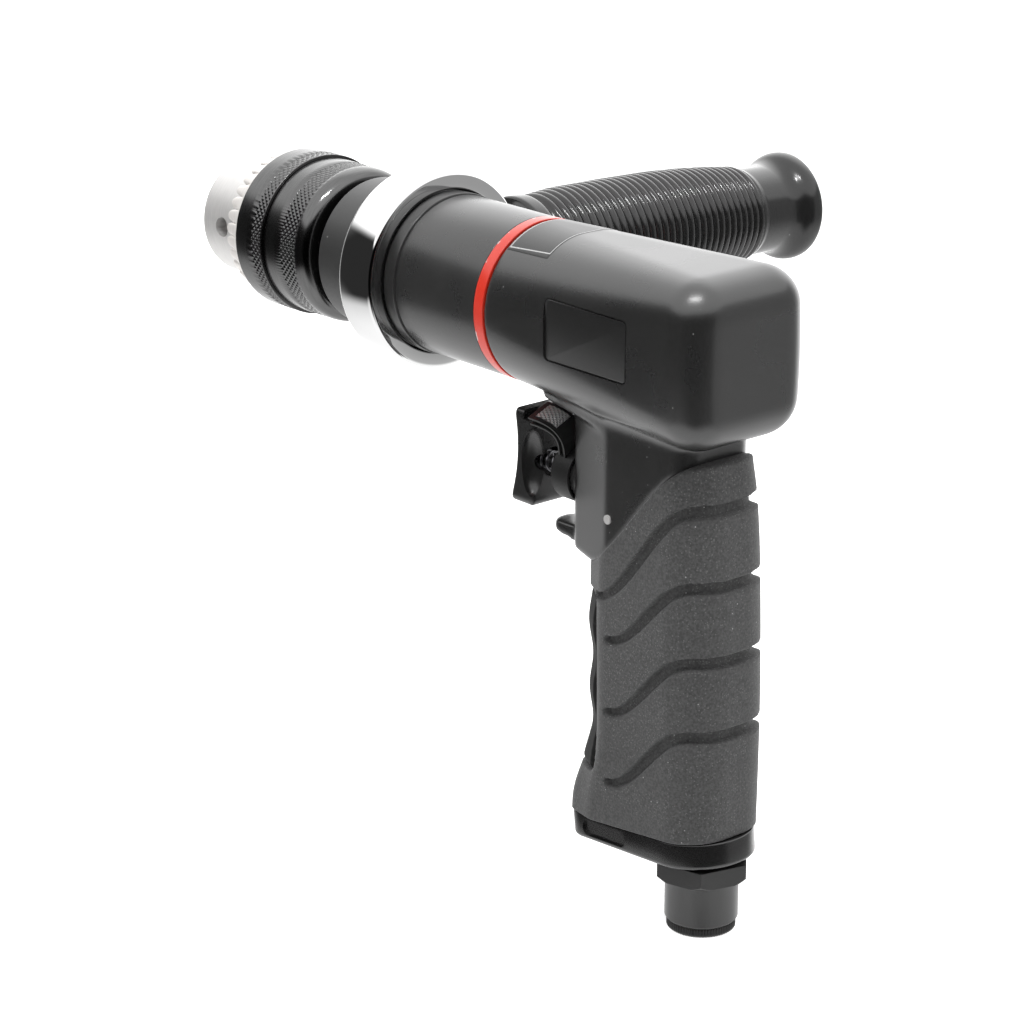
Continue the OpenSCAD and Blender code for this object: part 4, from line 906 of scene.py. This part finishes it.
def joined(*shapes):
    """One mesh from several closed shapes."""
    whole = bmesh.new()
    for shape in shapes:
        mesh = bpy.data.meshes.new("shape")
        shape.to_mesh(mesh)
        shape.free()
        whole.from_mesh(mesh)
        bpy.data.meshes.remove(mesh)
    return whole


print("housing forms ready")

# %% Motor housing
CHIN_FRONT = Vector((RING_REAR - 14.0, 0, -64.5))
CHIN_REAR = Vector((RING_REAR - 28.9, 0, -68.0))
body = capped(loft(BODY_COLUMNS, BODY_ROWS, lambda v: body_ring(body_back(v)), body_place))
neck = capped(loft(120, 120, neck_ring, neck_place))
chin = CHIN_REAR - CHIN_FRONT
bmesh.ops.bisect_plane(
    neck, geom=neck.verts[:] + neck.edges[:] + neck.faces[:], plane_co=CHIN_FRONT,
    plane_no=Vector((chin.z, 0, -chin.x)), clear_inner=True,
)
bmesh.ops.holes_fill(neck, edges=[e for e in neck.edges if e.is_boundary])
GUARD_TIP = -7.6
GUARD_TOP = -59.8
GUARD_LOW = -62.8
GUARD_THICKER = 1.7
guard_circles = [(-11.6, 1.2, 4.0), (-11.6, -1.2, 4.0), (-28, 4, 1), (-28, -4, 1)]
guard_ring = spaced(band(guard_circles), 64)


def guard_place(u, v):
    """Tongue with a flat top that thickens towards the neck."""
    x, y = guard_ring[round(u * 64)][:2]
    low = GUARD_LOW - GUARD_THICKER * min(1.0, (GUARD_TIP - x) / 8.0)
    return Vector((RING_REAR + x, y, mix(low, GUARD_TOP, v)))


guard = capped(wrapped(64, 6, guard_place))
housing = joined(body, neck, guard)
housing = piece(housing, "housing", HOUSING, "drill_body", "housing_black", "motor_housing")
melt = housing.modifiers.new("melt", "REMESH")
melt.mode = "VOXEL"
melt.voxel_size = 0.6 * MM
soft = housing.modifiers.new("soft", "SMOOTH")
soft.factor = 0.5
soft.iterations = 20
settled(housing)
print("housing melted", len(housing.data.polygons), "faces")

# %% Badge pocket and badge
BADGE_MID = Vector((RING_REAR - 41.0, 0, 1.5))
BADGE_HALF = (16.0, 8.5)
BADGE_Y = 21.9
BADGE_CORNER = 1.6


def badge_block(grown, low, high, edge):
    """Block with round corners that stands out of the left side."""
    bm = block((2 * (BADGE_HALF[0] + grown), high - low, 2 * (BADGE_HALF[1] + grown)), (0, 0, 0))
    upright = [e for e in bm.edges if abs(e.verts[0].co.y - e.verts[1].co.y) > 0.01]
    bevelled(bm, upright, BADGE_CORNER + grown, 6)
    if edge:
        rim = [e for e in bm.edges if min(v.co.y for v in e.verts) > (high - low) / 2 - 0.01]
        bevelled(bm, rim, edge, 2)
    bmesh.ops.translate(bm, vec=BADGE_MID + Vector((0, (low + high) / 2, 0)), verts=bm.verts)
    return bm


carved(housing, badge_block(0.15, BADGE_Y - 0.02, 26.0, 0.0))
badge = badge_block(-0.25, BADGE_Y, BADGE_Y + 0.55, 0.2)
piece(badge, "badge_plate", BADGE, "drill_body", "badge_black", "side_badge")

# %% [markdown]
# ## Rubber grip
# The rubber cover is a sleeve whose section changes down the hand. Its upper edge falls in an S, four
# grooves follow the same curve round the back, and a window at the front lets the hard finger front show.
# All of these are small moves inward on one wrapped grid, measured in side view.

# %% Grip form
GRIP_H = 108.0
GRIP_REAR = 78.4
GRIP_FRONT = 28.0
GRIP_HALF_W = 16.1
GRIP_REAR_R = 13.0
GRIP_SIDE_R = 9.0
GRIP_FRONT_R = 7.0
GRIP_COLUMNS = 288
GRIP_ROWS = 320
heights = [0, 0.1, 0.25, 0.45, 0.65, 0.8, 0.88, 0.94, 1]
rear_draw = list(zip(heights, [0.38, 0.2, 0.1, 0.04, 0, 0, 0, 0, 0]))
front_draw = list(zip(heights, [0, 0, 0, 0, 0.05, 0.04, -0.14, -0.36, -0.48]))
side_draw = list(zip(heights, [0.09, 0.06, 0.02, 0, 0, 0.01, 0.03, 0.05, 0.07]))


def smooth_draw(table, share):
    """A table's value, averaged a little so that the form has no kinks."""
    spread = (-0.04, -0.02, 0.0, 0.02, 0.04)
    return sum(stepped(table, max(0.0, min(1.0, share + d))) for d in spread) / len(spread)


def grip_band(share):
    """Section of the grip at a share of its height."""
    half_w = GRIP_HALF_W * (1 - smooth_draw(side_draw, share))
    rear_r = GRIP_REAR_R - (GRIP_HALF_W - half_w)
    rear = -GRIP_REAR + GRIP_REAR_R * smooth_draw(rear_draw, share)
    front = -GRIP_FRONT - GRIP_REAR_R * smooth_draw(front_draw, share)
    front_w = half_w * mix(0.74, 0.84, eased((share - 0.84) / 0.18))
    circles = []
    for side in (1, -1):
        circles.append((rear + rear_r, side * (half_w - rear_r), rear_r))
        circles.append((front - 15.0, side * (half_w - GRIP_SIDE_R), GRIP_SIDE_R))
        circles.append((front - GRIP_FRONT_R, side * (front_w - GRIP_FRONT_R), GRIP_FRONT_R))
    return band(circles)


TABLE_ROWS = 120
REACH = 1.08
grip_rings = [spaced(grip_band(k / TABLE_ROWS * REACH), GRIP_COLUMNS) for k in range(TABLE_ROWS + 1)]


def grip_point(column, depth):
    """Point and normal on the grip's outside at a depth below the axis."""
    row = max(0.0, min(TABLE_ROWS - 0.001, (depth - GRIP_TOP) / GRIP_H / REACH * TABLE_ROWS))
    low = grip_rings[int(row)][column]
    high = grip_rings[int(row) + 1][column]
    return [mix(a, b, row - int(row)) for a, b in zip(low, high)]


BASE_TILT = radians(6.8)
BASE_T = 7.6
INLET_X = -203.4
HEX_TOP = 143.4


def base_depth(x):
    """Depth of the base plate's upper face at a station."""
    return HEX_TOP - BASE_T / cos(BASE_TILT) + (RING_REAR + x - INLET_X) * tan(BASE_TILT)


print("grip form", len(grip_rings), "rings")

# %% Rubber grip
GROOVES = [(40.5, -38.0, 31.5)] + [(40.5 + 21.0 * k, -44.0, 21.5) for k in (1, 2, 3)]
GROOVE_HALF_WS = (1.75, 1.15)
GROOVE_DEPTHS = (2.4, 1.7)
WINDOW_REAR = -37.5
WINDOW_TOP = 72.0
WINDOW_LOW = 125.0
WINDOW_EDGE = 4.0
WINDOW_DEPTH = 2.0
ROLL = 1.1
ROLL_ROWS = 6
TOP_TUCK = 3.0
HEM = 0.5
HEM_TUCK = 3.5


def groove(x, depth):
    """How deep the grooves are at a point of the side view."""
    deepest = 0.0
    for top, front, drop in GROOVES:
        share = (x - S_REAR) / (front - S_REAR)
        line = top + drop * eased(share)
        slope = drop * 6 * share * (1 - share) / (front - S_REAR) if 0 < share < 1 else 0.0
        away = (depth - line) / sqrt(1 + slope**2)
        run = 0.3 if away < 0 else 1.2
        if x > front:
            away = hypot(x - front, depth - line)
        ahead = max(0.0, min(1.0, share))
        wall = eased((mix(*GROOVE_HALF_WS, ahead) - abs(away)) / run + 0.5)
        deepest = max(deepest, mix(*GROOVE_DEPTHS, ahead) * wall)
    return deepest


def window(x, depth):
    """How far the front is drawn in for the finger window."""
    middle = (WINDOW_TOP + WINDOW_LOW) / 2
    inset_x = x - WINDOW_REAR
    inset_z = (WINDOW_LOW - WINDOW_TOP) / 2 - abs(depth - middle)
    inside = min(inset_x, inset_z)
    if inset_x < WINDOW_EDGE and inset_z < WINDOW_EDGE:
        inside = WINDOW_EDGE - hypot(WINDOW_EDGE - inset_x, WINDOW_EDGE - inset_z)
    return WINDOW_DEPTH * eased(inside / 0.6 + 0.5)


def grip_place(u, v):
    column = round(u * GRIP_COLUMNS)
    row = round(v * GRIP_ROWS)
    top = GRIP_TOP
    for step in range(5):
        top = top_depth(grip_point(column, top)[0])
    low = HEX_TOP - BASE_T
    for step in range(5):
        low = base_depth(grip_point(column, low)[0])
    low -= 0.05
    inward = 0.0
    if row == 0:
        depth, inward = top, ROLL + TOP_TUCK
    elif row <= ROLL_ROWS:
        turn = pi / 2 * (row - 1) / (ROLL_ROWS - 1)
        depth, inward = top + ROLL * (1 - cos(turn)), ROLL * (1 - sin(turn))
    elif row == GRIP_ROWS:
        depth, inward = low, HEM_TUCK
    elif row == GRIP_ROWS - 1:
        depth, inward = low, HEM
    else:
        first, last = top + ROLL, low - HEM
        depth = mix(first, last, (row - ROLL_ROWS) / (GRIP_ROWS - 2 - ROLL_ROWS))
    x, y, nx, ny = grip_point(column, depth)
    inward += max(groove(x, depth), window(x, depth))
    length = hypot(nx, ny)
    return Vector((RING_REAR + x - nx / length * inward, y - ny / length * inward, -depth))


grip = closed(wrapped(GRIP_COLUMNS, GRIP_ROWS, grip_place))
piece(grip, "grip_cover", RUBBER, "drill_body", "grip_rubber", "rubber_grip", sharp=80)

# %% Finger front
FINGER_COLUMNS = 72
FINGER_ROWS = 110
FINGER_GAP = 0.5
FINGER_INSET = 0.1
FINGER_WAVE = 0.5
FINGER_PITCH = 19.5


def finger_place(u, v):
    """Hard front in the window, waved for the fingers, rolled in at its edge."""
    depth = mix(WINDOW_TOP + FINGER_GAP, WINDOW_LOW - FINGER_GAP, v)
    row = round((depth - GRIP_TOP) / GRIP_H / REACH * TABLE_ROWS)
    front = [p for p in grip_rings[row] if p[0] > WINDOW_REAR + FINGER_GAP]
    spot = u * (len(front) - 1)
    first = min(int(spot), len(front) - 2)
    x, y, nx, ny = [mix(a, b, spot - first) for a, b in zip(front[first], front[first + 1])]
    rim = min(u, 1 - u, v * 1.4, (1 - v) * 1.4) * 40
    rolled = 1.6 * (1 - eased(rim / 2.0 + 0.2))
    wave = FINGER_WAVE * cos(2 * pi * (depth - WINDOW_TOP - FINGER_PITCH / 2) / FINGER_PITCH)
    inward = FINGER_INSET - wave + rolled
    return Vector((RING_REAR + x - nx * inward, y - ny * inward, -depth))


finger = closed(wrapped(FINGER_COLUMNS, FINGER_ROWS, finger_place))
piece(finger, "finger_front", FINGER, "drill_body", "housing_black", sharp=60)

# %% [markdown]
# ## Trigger, reverse lever and spring
# The trigger is a block whose front is hollow for the finger, and an ellipsoid scoops each rear edge, so
# the scoop's outline is a crisp lens. The lever is a curved ribbon with raised rims and a knurled pad. The
# spring is a circle of wire that spin turns and moves on at once.

# %% Trigger
TRIGGER_TOP = -29.9
TRIGGER_LOW = -57.4
TRIGGER_Z = -45.5
TRIGGER_BACK = -3.45
TRIGGER_FRONTS = (4.9, 6.6)
TRIGGER_HOLLOW = 1.8
TRIGGER_HALF_W = 7.95
TRIGGER_WAIST = 0.3
TRIGGER_EDGE = 1.3
TRIGGER_DRAWN = 1.2
POCKET_R = 4.3
POCKET_DEPTH = 5.0
SCOOP_MID = (-3.0, 8.0, -44.6)
SCOOP = (4.4, 4.6, 9.9)


def trigger_ring(v):
    """Section of the trigger, drawn in at its two ends and hollow in front."""
    bow = 4 * v * (1 - v)
    edge = TRIGGER_EDGE
    front = mix(*TRIGGER_FRONTS, v) - TRIGGER_HOLLOW * bow
    y = TRIGGER_HALF_W - TRIGGER_WAIST * bow - edge
    corners = [(x, side * y, edge) for x in (TRIGGER_BACK + edge, front - edge) for side in (1, -1)]
    return band(corners, -TRIGGER_DRAWN * abs(2 * v - 1) ** 18)


def trigger_place(point, v):
    return Vector((RING_REAR + point[0], point[1], mix(TRIGGER_TOP, TRIGGER_LOW, v)))


trigger = capped(loft(120, 100, trigger_ring, trigger_place))
trigger = piece(trigger, "trigger_shoe", TRIGGER, "trigger_set", "trigger_black", "trigger", sharp=40)
lay = Matrix.Translation((RING_REAR + TRIGGER_BACK, 0, TRIGGER_Z)) @ Matrix.Rotation(pi / 2, 4, "Y")
carved(trigger, rod(POCKET_R, 2 * POCKET_DEPTH, lay), sharp=40)
for side in (1, -1):
    scoop = bmesh.new()
    bmesh.ops.create_uvsphere(scoop, u_segments=64, v_segments=48, radius=1.0)
    bmesh.ops.scale(scoop, vec=SCOOP, verts=scoop.verts)
    x, y, z = SCOOP_MID
    bmesh.ops.translate(scoop, vec=(RING_REAR + x, side * y, z), verts=scoop.verts)
    carved(trigger, scoop, sharp=40)

# %% [markdown]
# The pulled trigger slides under the lever's thumb end. Each rear top corner is cut away along the
# lever's lean, on both sides, because the lever can lean either way.

# %% Relief for the lever
LEVER_LEAN = radians(-23)
RELIEF = (9.5, 9.4, 7.0)
RELIEF_MID = (-4.2, 0.0, 18.5)
for side in (1, -1):
    lean = Matrix.Translation((RING_REAR, 0, TRIGGER_Z)) @ Matrix.Rotation(side * LEVER_LEAN, 4, "X")
    carved(trigger, placed(block(RELIEF, RELIEF_MID), lean), sharp=40)
print("trigger relieved", len(trigger.data.polygons), "faces")

# %% Reverse lever
LEVER_BOSS_R = 8.4
LEVER_BACK = -18.7
LEVER_SEAT = -13.6
LEVER_BOSS_FRONT = -11.5
TO_LEVER = Matrix.Translation((RING_REAR, 0, TRIGGER_Z)) @ Matrix.Rotation(LEVER_LEAN, 4, "X")
lever_path = [Vector(p) for p in ((-14.4, 7.6), (-16.2, 12.5), (-18.0, 17.5), (-5.0, 17.1))]
LEVER_STEPS = 36
PAD_SPAN = (0.62, 0.95)
PAD_HALF_W = 2.9
rim_section = [
    (4.0, 1.3), (4.0, 0.75), (3.1, 0.65), (3.1, -0.65), (4.0, -0.75), (4.0, -1.3),
    (-4.0, -1.3), (-4.0, -0.75), (-3.1, -0.65), (-3.1, 0.65), (-4.0, 0.75), (-4.0, 1.3), (4.0, 1.3),
]


def lever_line(share):
    """Cubic curve through the lever's middle: place and heading."""
    a, b, c, d = lever_path
    rest = 1 - share
    place = a * rest**3 + b * 3 * rest**2 * share + c * 3 * rest * share**2 + d * share**3
    heading = (b - a) * 3 * rest**2 + (c - b) * 6 * rest * share + (d - c) * 3 * share**2
    return place, heading.normalized()


def lever_place(u, v):
    place, heading = lever_line(v)
    side, thick = rim_section[round(u * (len(rim_section) - 1))]
    out = place + Vector((-heading.y, heading.x)) * thick
    return Vector((out.x, side, out.y))


ribbon = capped(wrapped(len(rim_section) - 1, LEVER_STEPS, lever_place))
boss = lathe(
    rounded(
        [
            (LEVER_BACK, LEVER_BOSS_R - 0.6, 0.0),
            (LEVER_BACK, LEVER_BOSS_R, 0.2),
            (LEVER_BOSS_FRONT, LEVER_BOSS_R, 0.6),
            (LEVER_BOSS_FRONT, 3.0, 0.0),
            (LEVER_SEAT, 3.0, 0.0),
            (LEVER_SEAT, LEVER_BOSS_R - 0.6, 0.0),
            (LEVER_BACK, LEVER_BOSS_R - 0.6, 0.0),
        ]
    ),
    96,
)
lever = placed(joined(ribbon, boss), TO_LEVER)
piece(lever, "lever_ribbon", LEVER, "reverse_set", "lever_black", "reverse_lever", sharp=30)


def pad_place(u, v):
    """Small pyramids on the thumb pad, which stands on the ribbon's end."""
    place, heading = lever_line(mix(*PAD_SPAN, v))
    up = min(abs((5 * u + s * 5 * v) % 1.0 - 0.5) for s in (1, -1))
    edge = min(u, 1 - u, v, 1 - v)
    lift = 1.3 + (0.2 + 0.5 * up if edge > 0.02 else -0.3)
    out = place + Vector((-heading.y, heading.x)) * lift
    return Vector((out.x, mix(-PAD_HALF_W, PAD_HALF_W, u), out.y))


pad = placed(wrapped(40, 40, pad_place), TO_LEVER)
bmesh.ops.recalc_face_normals(pad, faces=pad.faces)
piece(pad, "lever_pad", PAD, "reverse_set", "steel", sharp=20)

# %% Trigger spring
SPRING_R = 2.7
WIRE_R = 0.45
SPRING_TURNS = 5
SPRING_REAR = -11.0
SPRING_FRONT = 1.3
spring = bmesh.new()
bmesh.ops.create_circle(spring, cap_ends=False, segments=10, radius=WIRE_R)
placed(spring, Matrix.Translation((SPRING_REAR, SPRING_R, 0)))
SPIN_STEPS = SPRING_TURNS * 32
bmesh.ops.spin(
    spring, geom=spring.verts[:] + spring.edges[:], cent=(0, 0, 0), axis=(1, 0, 0),
    dvec=((SPRING_FRONT - SPRING_REAR) / SPIN_STEPS, 0, 0), angle=2 * pi * SPRING_TURNS,
    steps=SPIN_STEPS,
)
bmesh.ops.holes_fill(spring, edges=[e for e in spring.edges if e.is_boundary])
closed(spring)
bmesh.ops.translate(spring, vec=(RING_REAR, 0, TRIGGER_Z), verts=spring.verts)
spring = piece(spring, "wound_spring", SPRING, "trigger_set", "spring_steel", "trigger_spring", sharp=60)
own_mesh(spring)

# %% [markdown]
# ## Base plate and inlet
# The base plate is an extruded outline, tilted with the grip's lower end. Its edges are bevelled, and a
# bare panel is sunk in each side. The inlet's rim has fine flutes for the fingers.

# %% Base plate
TO_BASE = Matrix.Translation((INLET_X, 0, -HEX_TOP)) @ Matrix.Rotation(BASE_TILT, 4, "Y")
BASE_CIRCLES = [(0, 0, 14.7), (36.4, 5.2, 7.0), (36.4, -5.2, 7.0)]
BASE_POINTS = 120
BASE_ROUND = 1.4
BASE_EDGE = 0.5
plate = prism(band(BASE_CIRCLES), BASE_POINTS, BASE_T - 0.1)
rims = [e for e in plate.edges if abs(e.verts[0].co.z - e.verts[1].co.z) < 0.01]
bevelled(plate, [e for e in rims if e.verts[0].co.z < 1], BASE_ROUND, 5)
rims = [e for e in plate.edges if min(v.co.z for v in e.verts) > BASE_T - 0.2]
bevelled(plate, rims, BASE_EDGE, 3)
bmesh.ops.recalc_face_normals(plate, faces=plate.faces)
placed(plate, TO_BASE)
plate = piece(plate, "base_cover", BASE, "drill_body", "base_black", "base_plate", sharp=40)
PANEL_LEN = 19.0
PANEL_H = 4.6
PANEL_X = 25.9
PANEL_Y = 12.1
SIDE_LEAN = radians(4.0)
for side in (1, -1):
    ends = [(x, 0, PANEL_H / 2) for x in (PANEL_H / 2 - PANEL_LEN / 2, PANEL_LEN / 2 - PANEL_H / 2)]
    panel = prism(band(ends), 64, 4.0)
    bmesh.ops.recalc_face_normals(panel, faces=panel.faces)
    turn = Matrix.Rotation(-side * pi / 2, 4, "X")
    place = Matrix.Translation((PANEL_X, side * PANEL_Y, BASE_T / 2))
    place = place @ Matrix.Rotation(-side * SIDE_LEAN, 4, "Z")
    carved(plate, placed(panel, TO_BASE @ place @ turn), sharp=40)

# %% Inlet rim
FLUTES = 72
RIM_R = 9.6
RIM_TOP = -162.1
RIM_LOW = -164.5
FLUTE_DEPTH = 0.36
rim_profile = stations(
    rounded(
        [
            (RIM_TOP + 0.1, 7.0, 0.0),
            (RIM_TOP + 0.1, RIM_R, 0.3),
            (RIM_LOW, RIM_R, 0.4),
            (RIM_LOW, 6.2, 0.3),
            (RIM_TOP + 0.1, 6.2, 0.0),
            (RIM_TOP + 0.1, 7.0, 0.0),
        ],
        3,
    ),
    [(RIM_LOW, RIM_TOP + 0.2, 0.6)],
)


def rim_place(u, v):
    z, r = rim_profile[round(v * (len(rim_profile) - 1))]
    if r > RIM_R - 0.2:
        r -= FLUTE_DEPTH * (0.5 - 0.5 * cos(2 * pi * FLUTES * u))
    return Vector((INLET_X + r * cos(2 * pi * u), r * sin(2 * pi * u), z))


rim = closed(wrapped(FLUTES * 8, len(rim_profile) - 1, rim_place))
piece(rim, "fluted_rim", INLET, "drill_body", "inlet_black", "inlet_rim", sharp=60)

# %% [markdown]
# ## Top label
# A thin plate on top of the body has a pale line just inside its edge. It is a small grid laid on the
# body's own sections, so it bends with them, and its rim is tucked under the body's surface.

# %% Top label
LABEL_LEN = 18.0
LABEL_FROM = radians(48)
LABEL_TO = radians(112)
LABEL_LIFT = 0.12


def label_finish(name):
    """Black label with a thin pale line just inside its edge."""
    finish = Finish(name, Roughness=0.34)
    along = finish.axis("X")
    across = finish.axis("Y")
    mid_x = (RING_REAR - 1.0 - LABEL_LEN / 2) * MM
    near_x = abs(along - mid_x) - (LABEL_LEN / 2 - 0.9) * MM
    low = BARREL_R * cos(LABEL_TO)
    high = BARREL_R * cos(LABEL_FROM)
    near_y = abs(across - (low + high) / 2 * MM) - ((high - low) / 2 - 0.9) * MM
    nearest = finish.node("ShaderNodeMath", {"operation": "MAXIMUM"}, {0: near_x, 1: near_y})
    line = 1 - finish.ramp(abs(nearest), 0.1 * MM, 0.2 * MM)
    cloud = finish.noise(80, 3.0)
    black = finish.tint(cloud, colour(0.012), colour(0.02))
    finish.feed("Base Color", finish.tint(line, black, colour(0.3)))
    return finish.material


def label_place(u, v):
    back = 1.0 + LABEL_LEN * v
    angle = mix(LABEL_FROM, LABEL_TO, u)
    n = (cos(angle), sin(angle))
    reach = max(body_ring(back), key=lambda p: p[0] * n[0] + p[1] * n[1])
    reach = (crowned(reach[0], reach[1], back), reach[1])
    lift = LABEL_LIFT if 0 < u < 1 and 0 < v < 1 else -0.2
    return Vector((RING_REAR - back, reach[0] + n[0] * lift, reach[1] + n[1] * lift))


label = wrapped(40, 24, label_place)
bmesh.ops.recalc_face_normals(label, faces=label.faces)
piece(label, "top_label", label_finish("label_black"), "drill_body", "badge_black", sharp=60)

# %% [markdown]
# ## Pieces that keep their solids
# Shafts, gears, bearings, jaws and screws already have their true shape. They keep their CAD meshes and
# get a finish each. Weld and Bevel modifiers break the sharp edges of those that show.

# %% Finishes on the solids
slot_finish = {
    "steel": STEEL, "chuck_steel": CHUCK_BRIGHT, "iron": IRON, "bronze": BRONZE, "seal_rubber": SEAL,
    "vane_resin": VANES, "inlet_black": INLET, "felt": FELT, "spring_steel": SPRING,
}
for subpart in frame["record"]["subparts"]:
    obj = nodes[subpart["node"]]
    finish = slot_finish.get(subpart["material_slot"])
    if finish and not obj.hide_render:
        obj.data.materials.clear()
        obj.data.materials.append(finish)
nodes["valve_sleeve"].data.materials[0] = INLET
nodes["valve_pin"].data.materials[0] = CHUCK_BRIGHT
for name in ("inlet_bushing", "valve_pin", "base_screws", "chuck_jaw_1", "chuck_jaw_2", "chuck_jaw_3"):
    weld = nodes[name].modifiers.new("weld", "WELD")
    weld.merge_threshold = 0.002 * MM
    edge = nodes[name].modifiers.new("edge", "BEVEL")
    edge.width = 0.35 * MM
    edge.segments = 2
    edge.limit_method = "ANGLE"
    edge.angle_limit = radians(40)
print("solids finished", sum(not o.hide_render for o in nodes.values()))

# %% [markdown]
# ## Studio
# The studio is a white tent: bright above and below, brightest behind the drill, with a dark gap at the
# horizon on the near side and a dark place where the camera stands. Glossy black lives from both. The
# world draws it by direction, and stays white to the camera. The pale floor is hidden from reflections,
# so the tent shows there.

# %% World
world = bpy.data.worlds.new("tent")
world.use_nodes = True
scene.world = world
tent = Shading(world.node_tree, "Generated")
height = tent.axis("Z")
near_side = tent.axis("Y") * 0.9 - tent.axis("X") * 0.3
above = tent.ramp(height, 0.34, 0.46)
below = 1 - tent.ramp(height, -0.75, -0.2)
gap = (1 - above) * tent.ramp(height, -0.52, -0.38) * tent.ramp(near_side, -0.05, 0.25)
level = (0.4 + above * 1.1 + below * 0.85) * (1 - gap) + gap * 0.03
ahead = tent.ramp(tent.axis("X"), -0.3, 0.3)
far_side = (1 - tent.ramp(near_side, -0.6, -0.2)) * (1 - below) * ahead
level = level * (1 - far_side) + far_side * 2.4
toward = tent.axis("Y") * 0.652 - tent.axis("X") * 0.758
shade = tent.ramp(toward, 0.66, 0.88) * (1 - tent.ramp(height, 0.4, 0.55))
level = level * (1 - shade * 0.96)
seen = tent.node("ShaderNodeLightPath", None, None, "Is Camera Ray")
strength = seen + (1 - seen) * level
background = world.node_tree.nodes["Background"]
background.inputs["Color"].default_value = (1.0, 1.0, 1.0, 1.0)
world.node_tree.links.new(strength.socket, background.inputs["Strength"])
print("world tent set")

# %% Floor and lamps
FLOOR_HALF = 4000.0
FLOOR_MID = (-150.0, 0.0, RIM_LOW - 0.2)
floor = bmesh.new()
bmesh.ops.create_grid(floor, x_segments=8, y_segments=8, size=FLOOR_HALF)
floor = as_object(placed(floor, Matrix.Translation(FLOOR_MID)), "floor")
pale = Finish("floor_pale", Roughness=0.9, Specular_IOR_Level=0.0)
paper = pale.noise(3.0, 2.0)
pale.feed("Base Color", pale.tint(paper, colour(0.9), colour(0.92)))
pale.shader.inputs["Emission Color"].default_value = (1.0, 1.0, 1.0, 1.0)
pale.shader.inputs["Emission Strength"].default_value = 0.42
floor.data.materials.append(pale.material)
floor.visible_glossy = False


def lamp(name, place, aim, size, power, shape="RECTANGLE"):
    """Lamp that looks at a point; only round ones show in reflections."""
    light = bpy.data.lights.new(name, "AREA")
    light.shape = shape
    light.size, light.size_y = size
    light.energy = power
    obj = bpy.data.objects.new(name, light)
    obj.location = place
    obj.visible_glossy = shape == "ELLIPSE"
    obj.rotation_euler = (Vector(aim) - Vector(place)).to_track_quat("-Z", "Y").to_euler()
    scene.collection.objects.link(obj)


MIDDLE = (-0.12, 0.0, -0.04)
lamp("soft_top", (-0.2, 0.1, 1.2), MIDDLE, (1.0, 1.0), 9.0)
lamp("soft_front", (0.75, 0.75, 0.55), MIDDLE, (0.9, 0.35), 5.0)
lamp("soft_rear", (-0.9, -0.7, 0.4), MIDDLE, (0.6, 0.8), 5.0)
for k in (-1, 0, 1):
    place = (-0.36 + 0.12 * k, 0.32 + 0.1 * k, 0.95)
    lamp("ceiling_lamp_%d" % (k + 2), place, MIDDLE, (0.045, 0.045), 1.3, "ELLIPSE")
scene.view_settings.view_transform = "Standard"
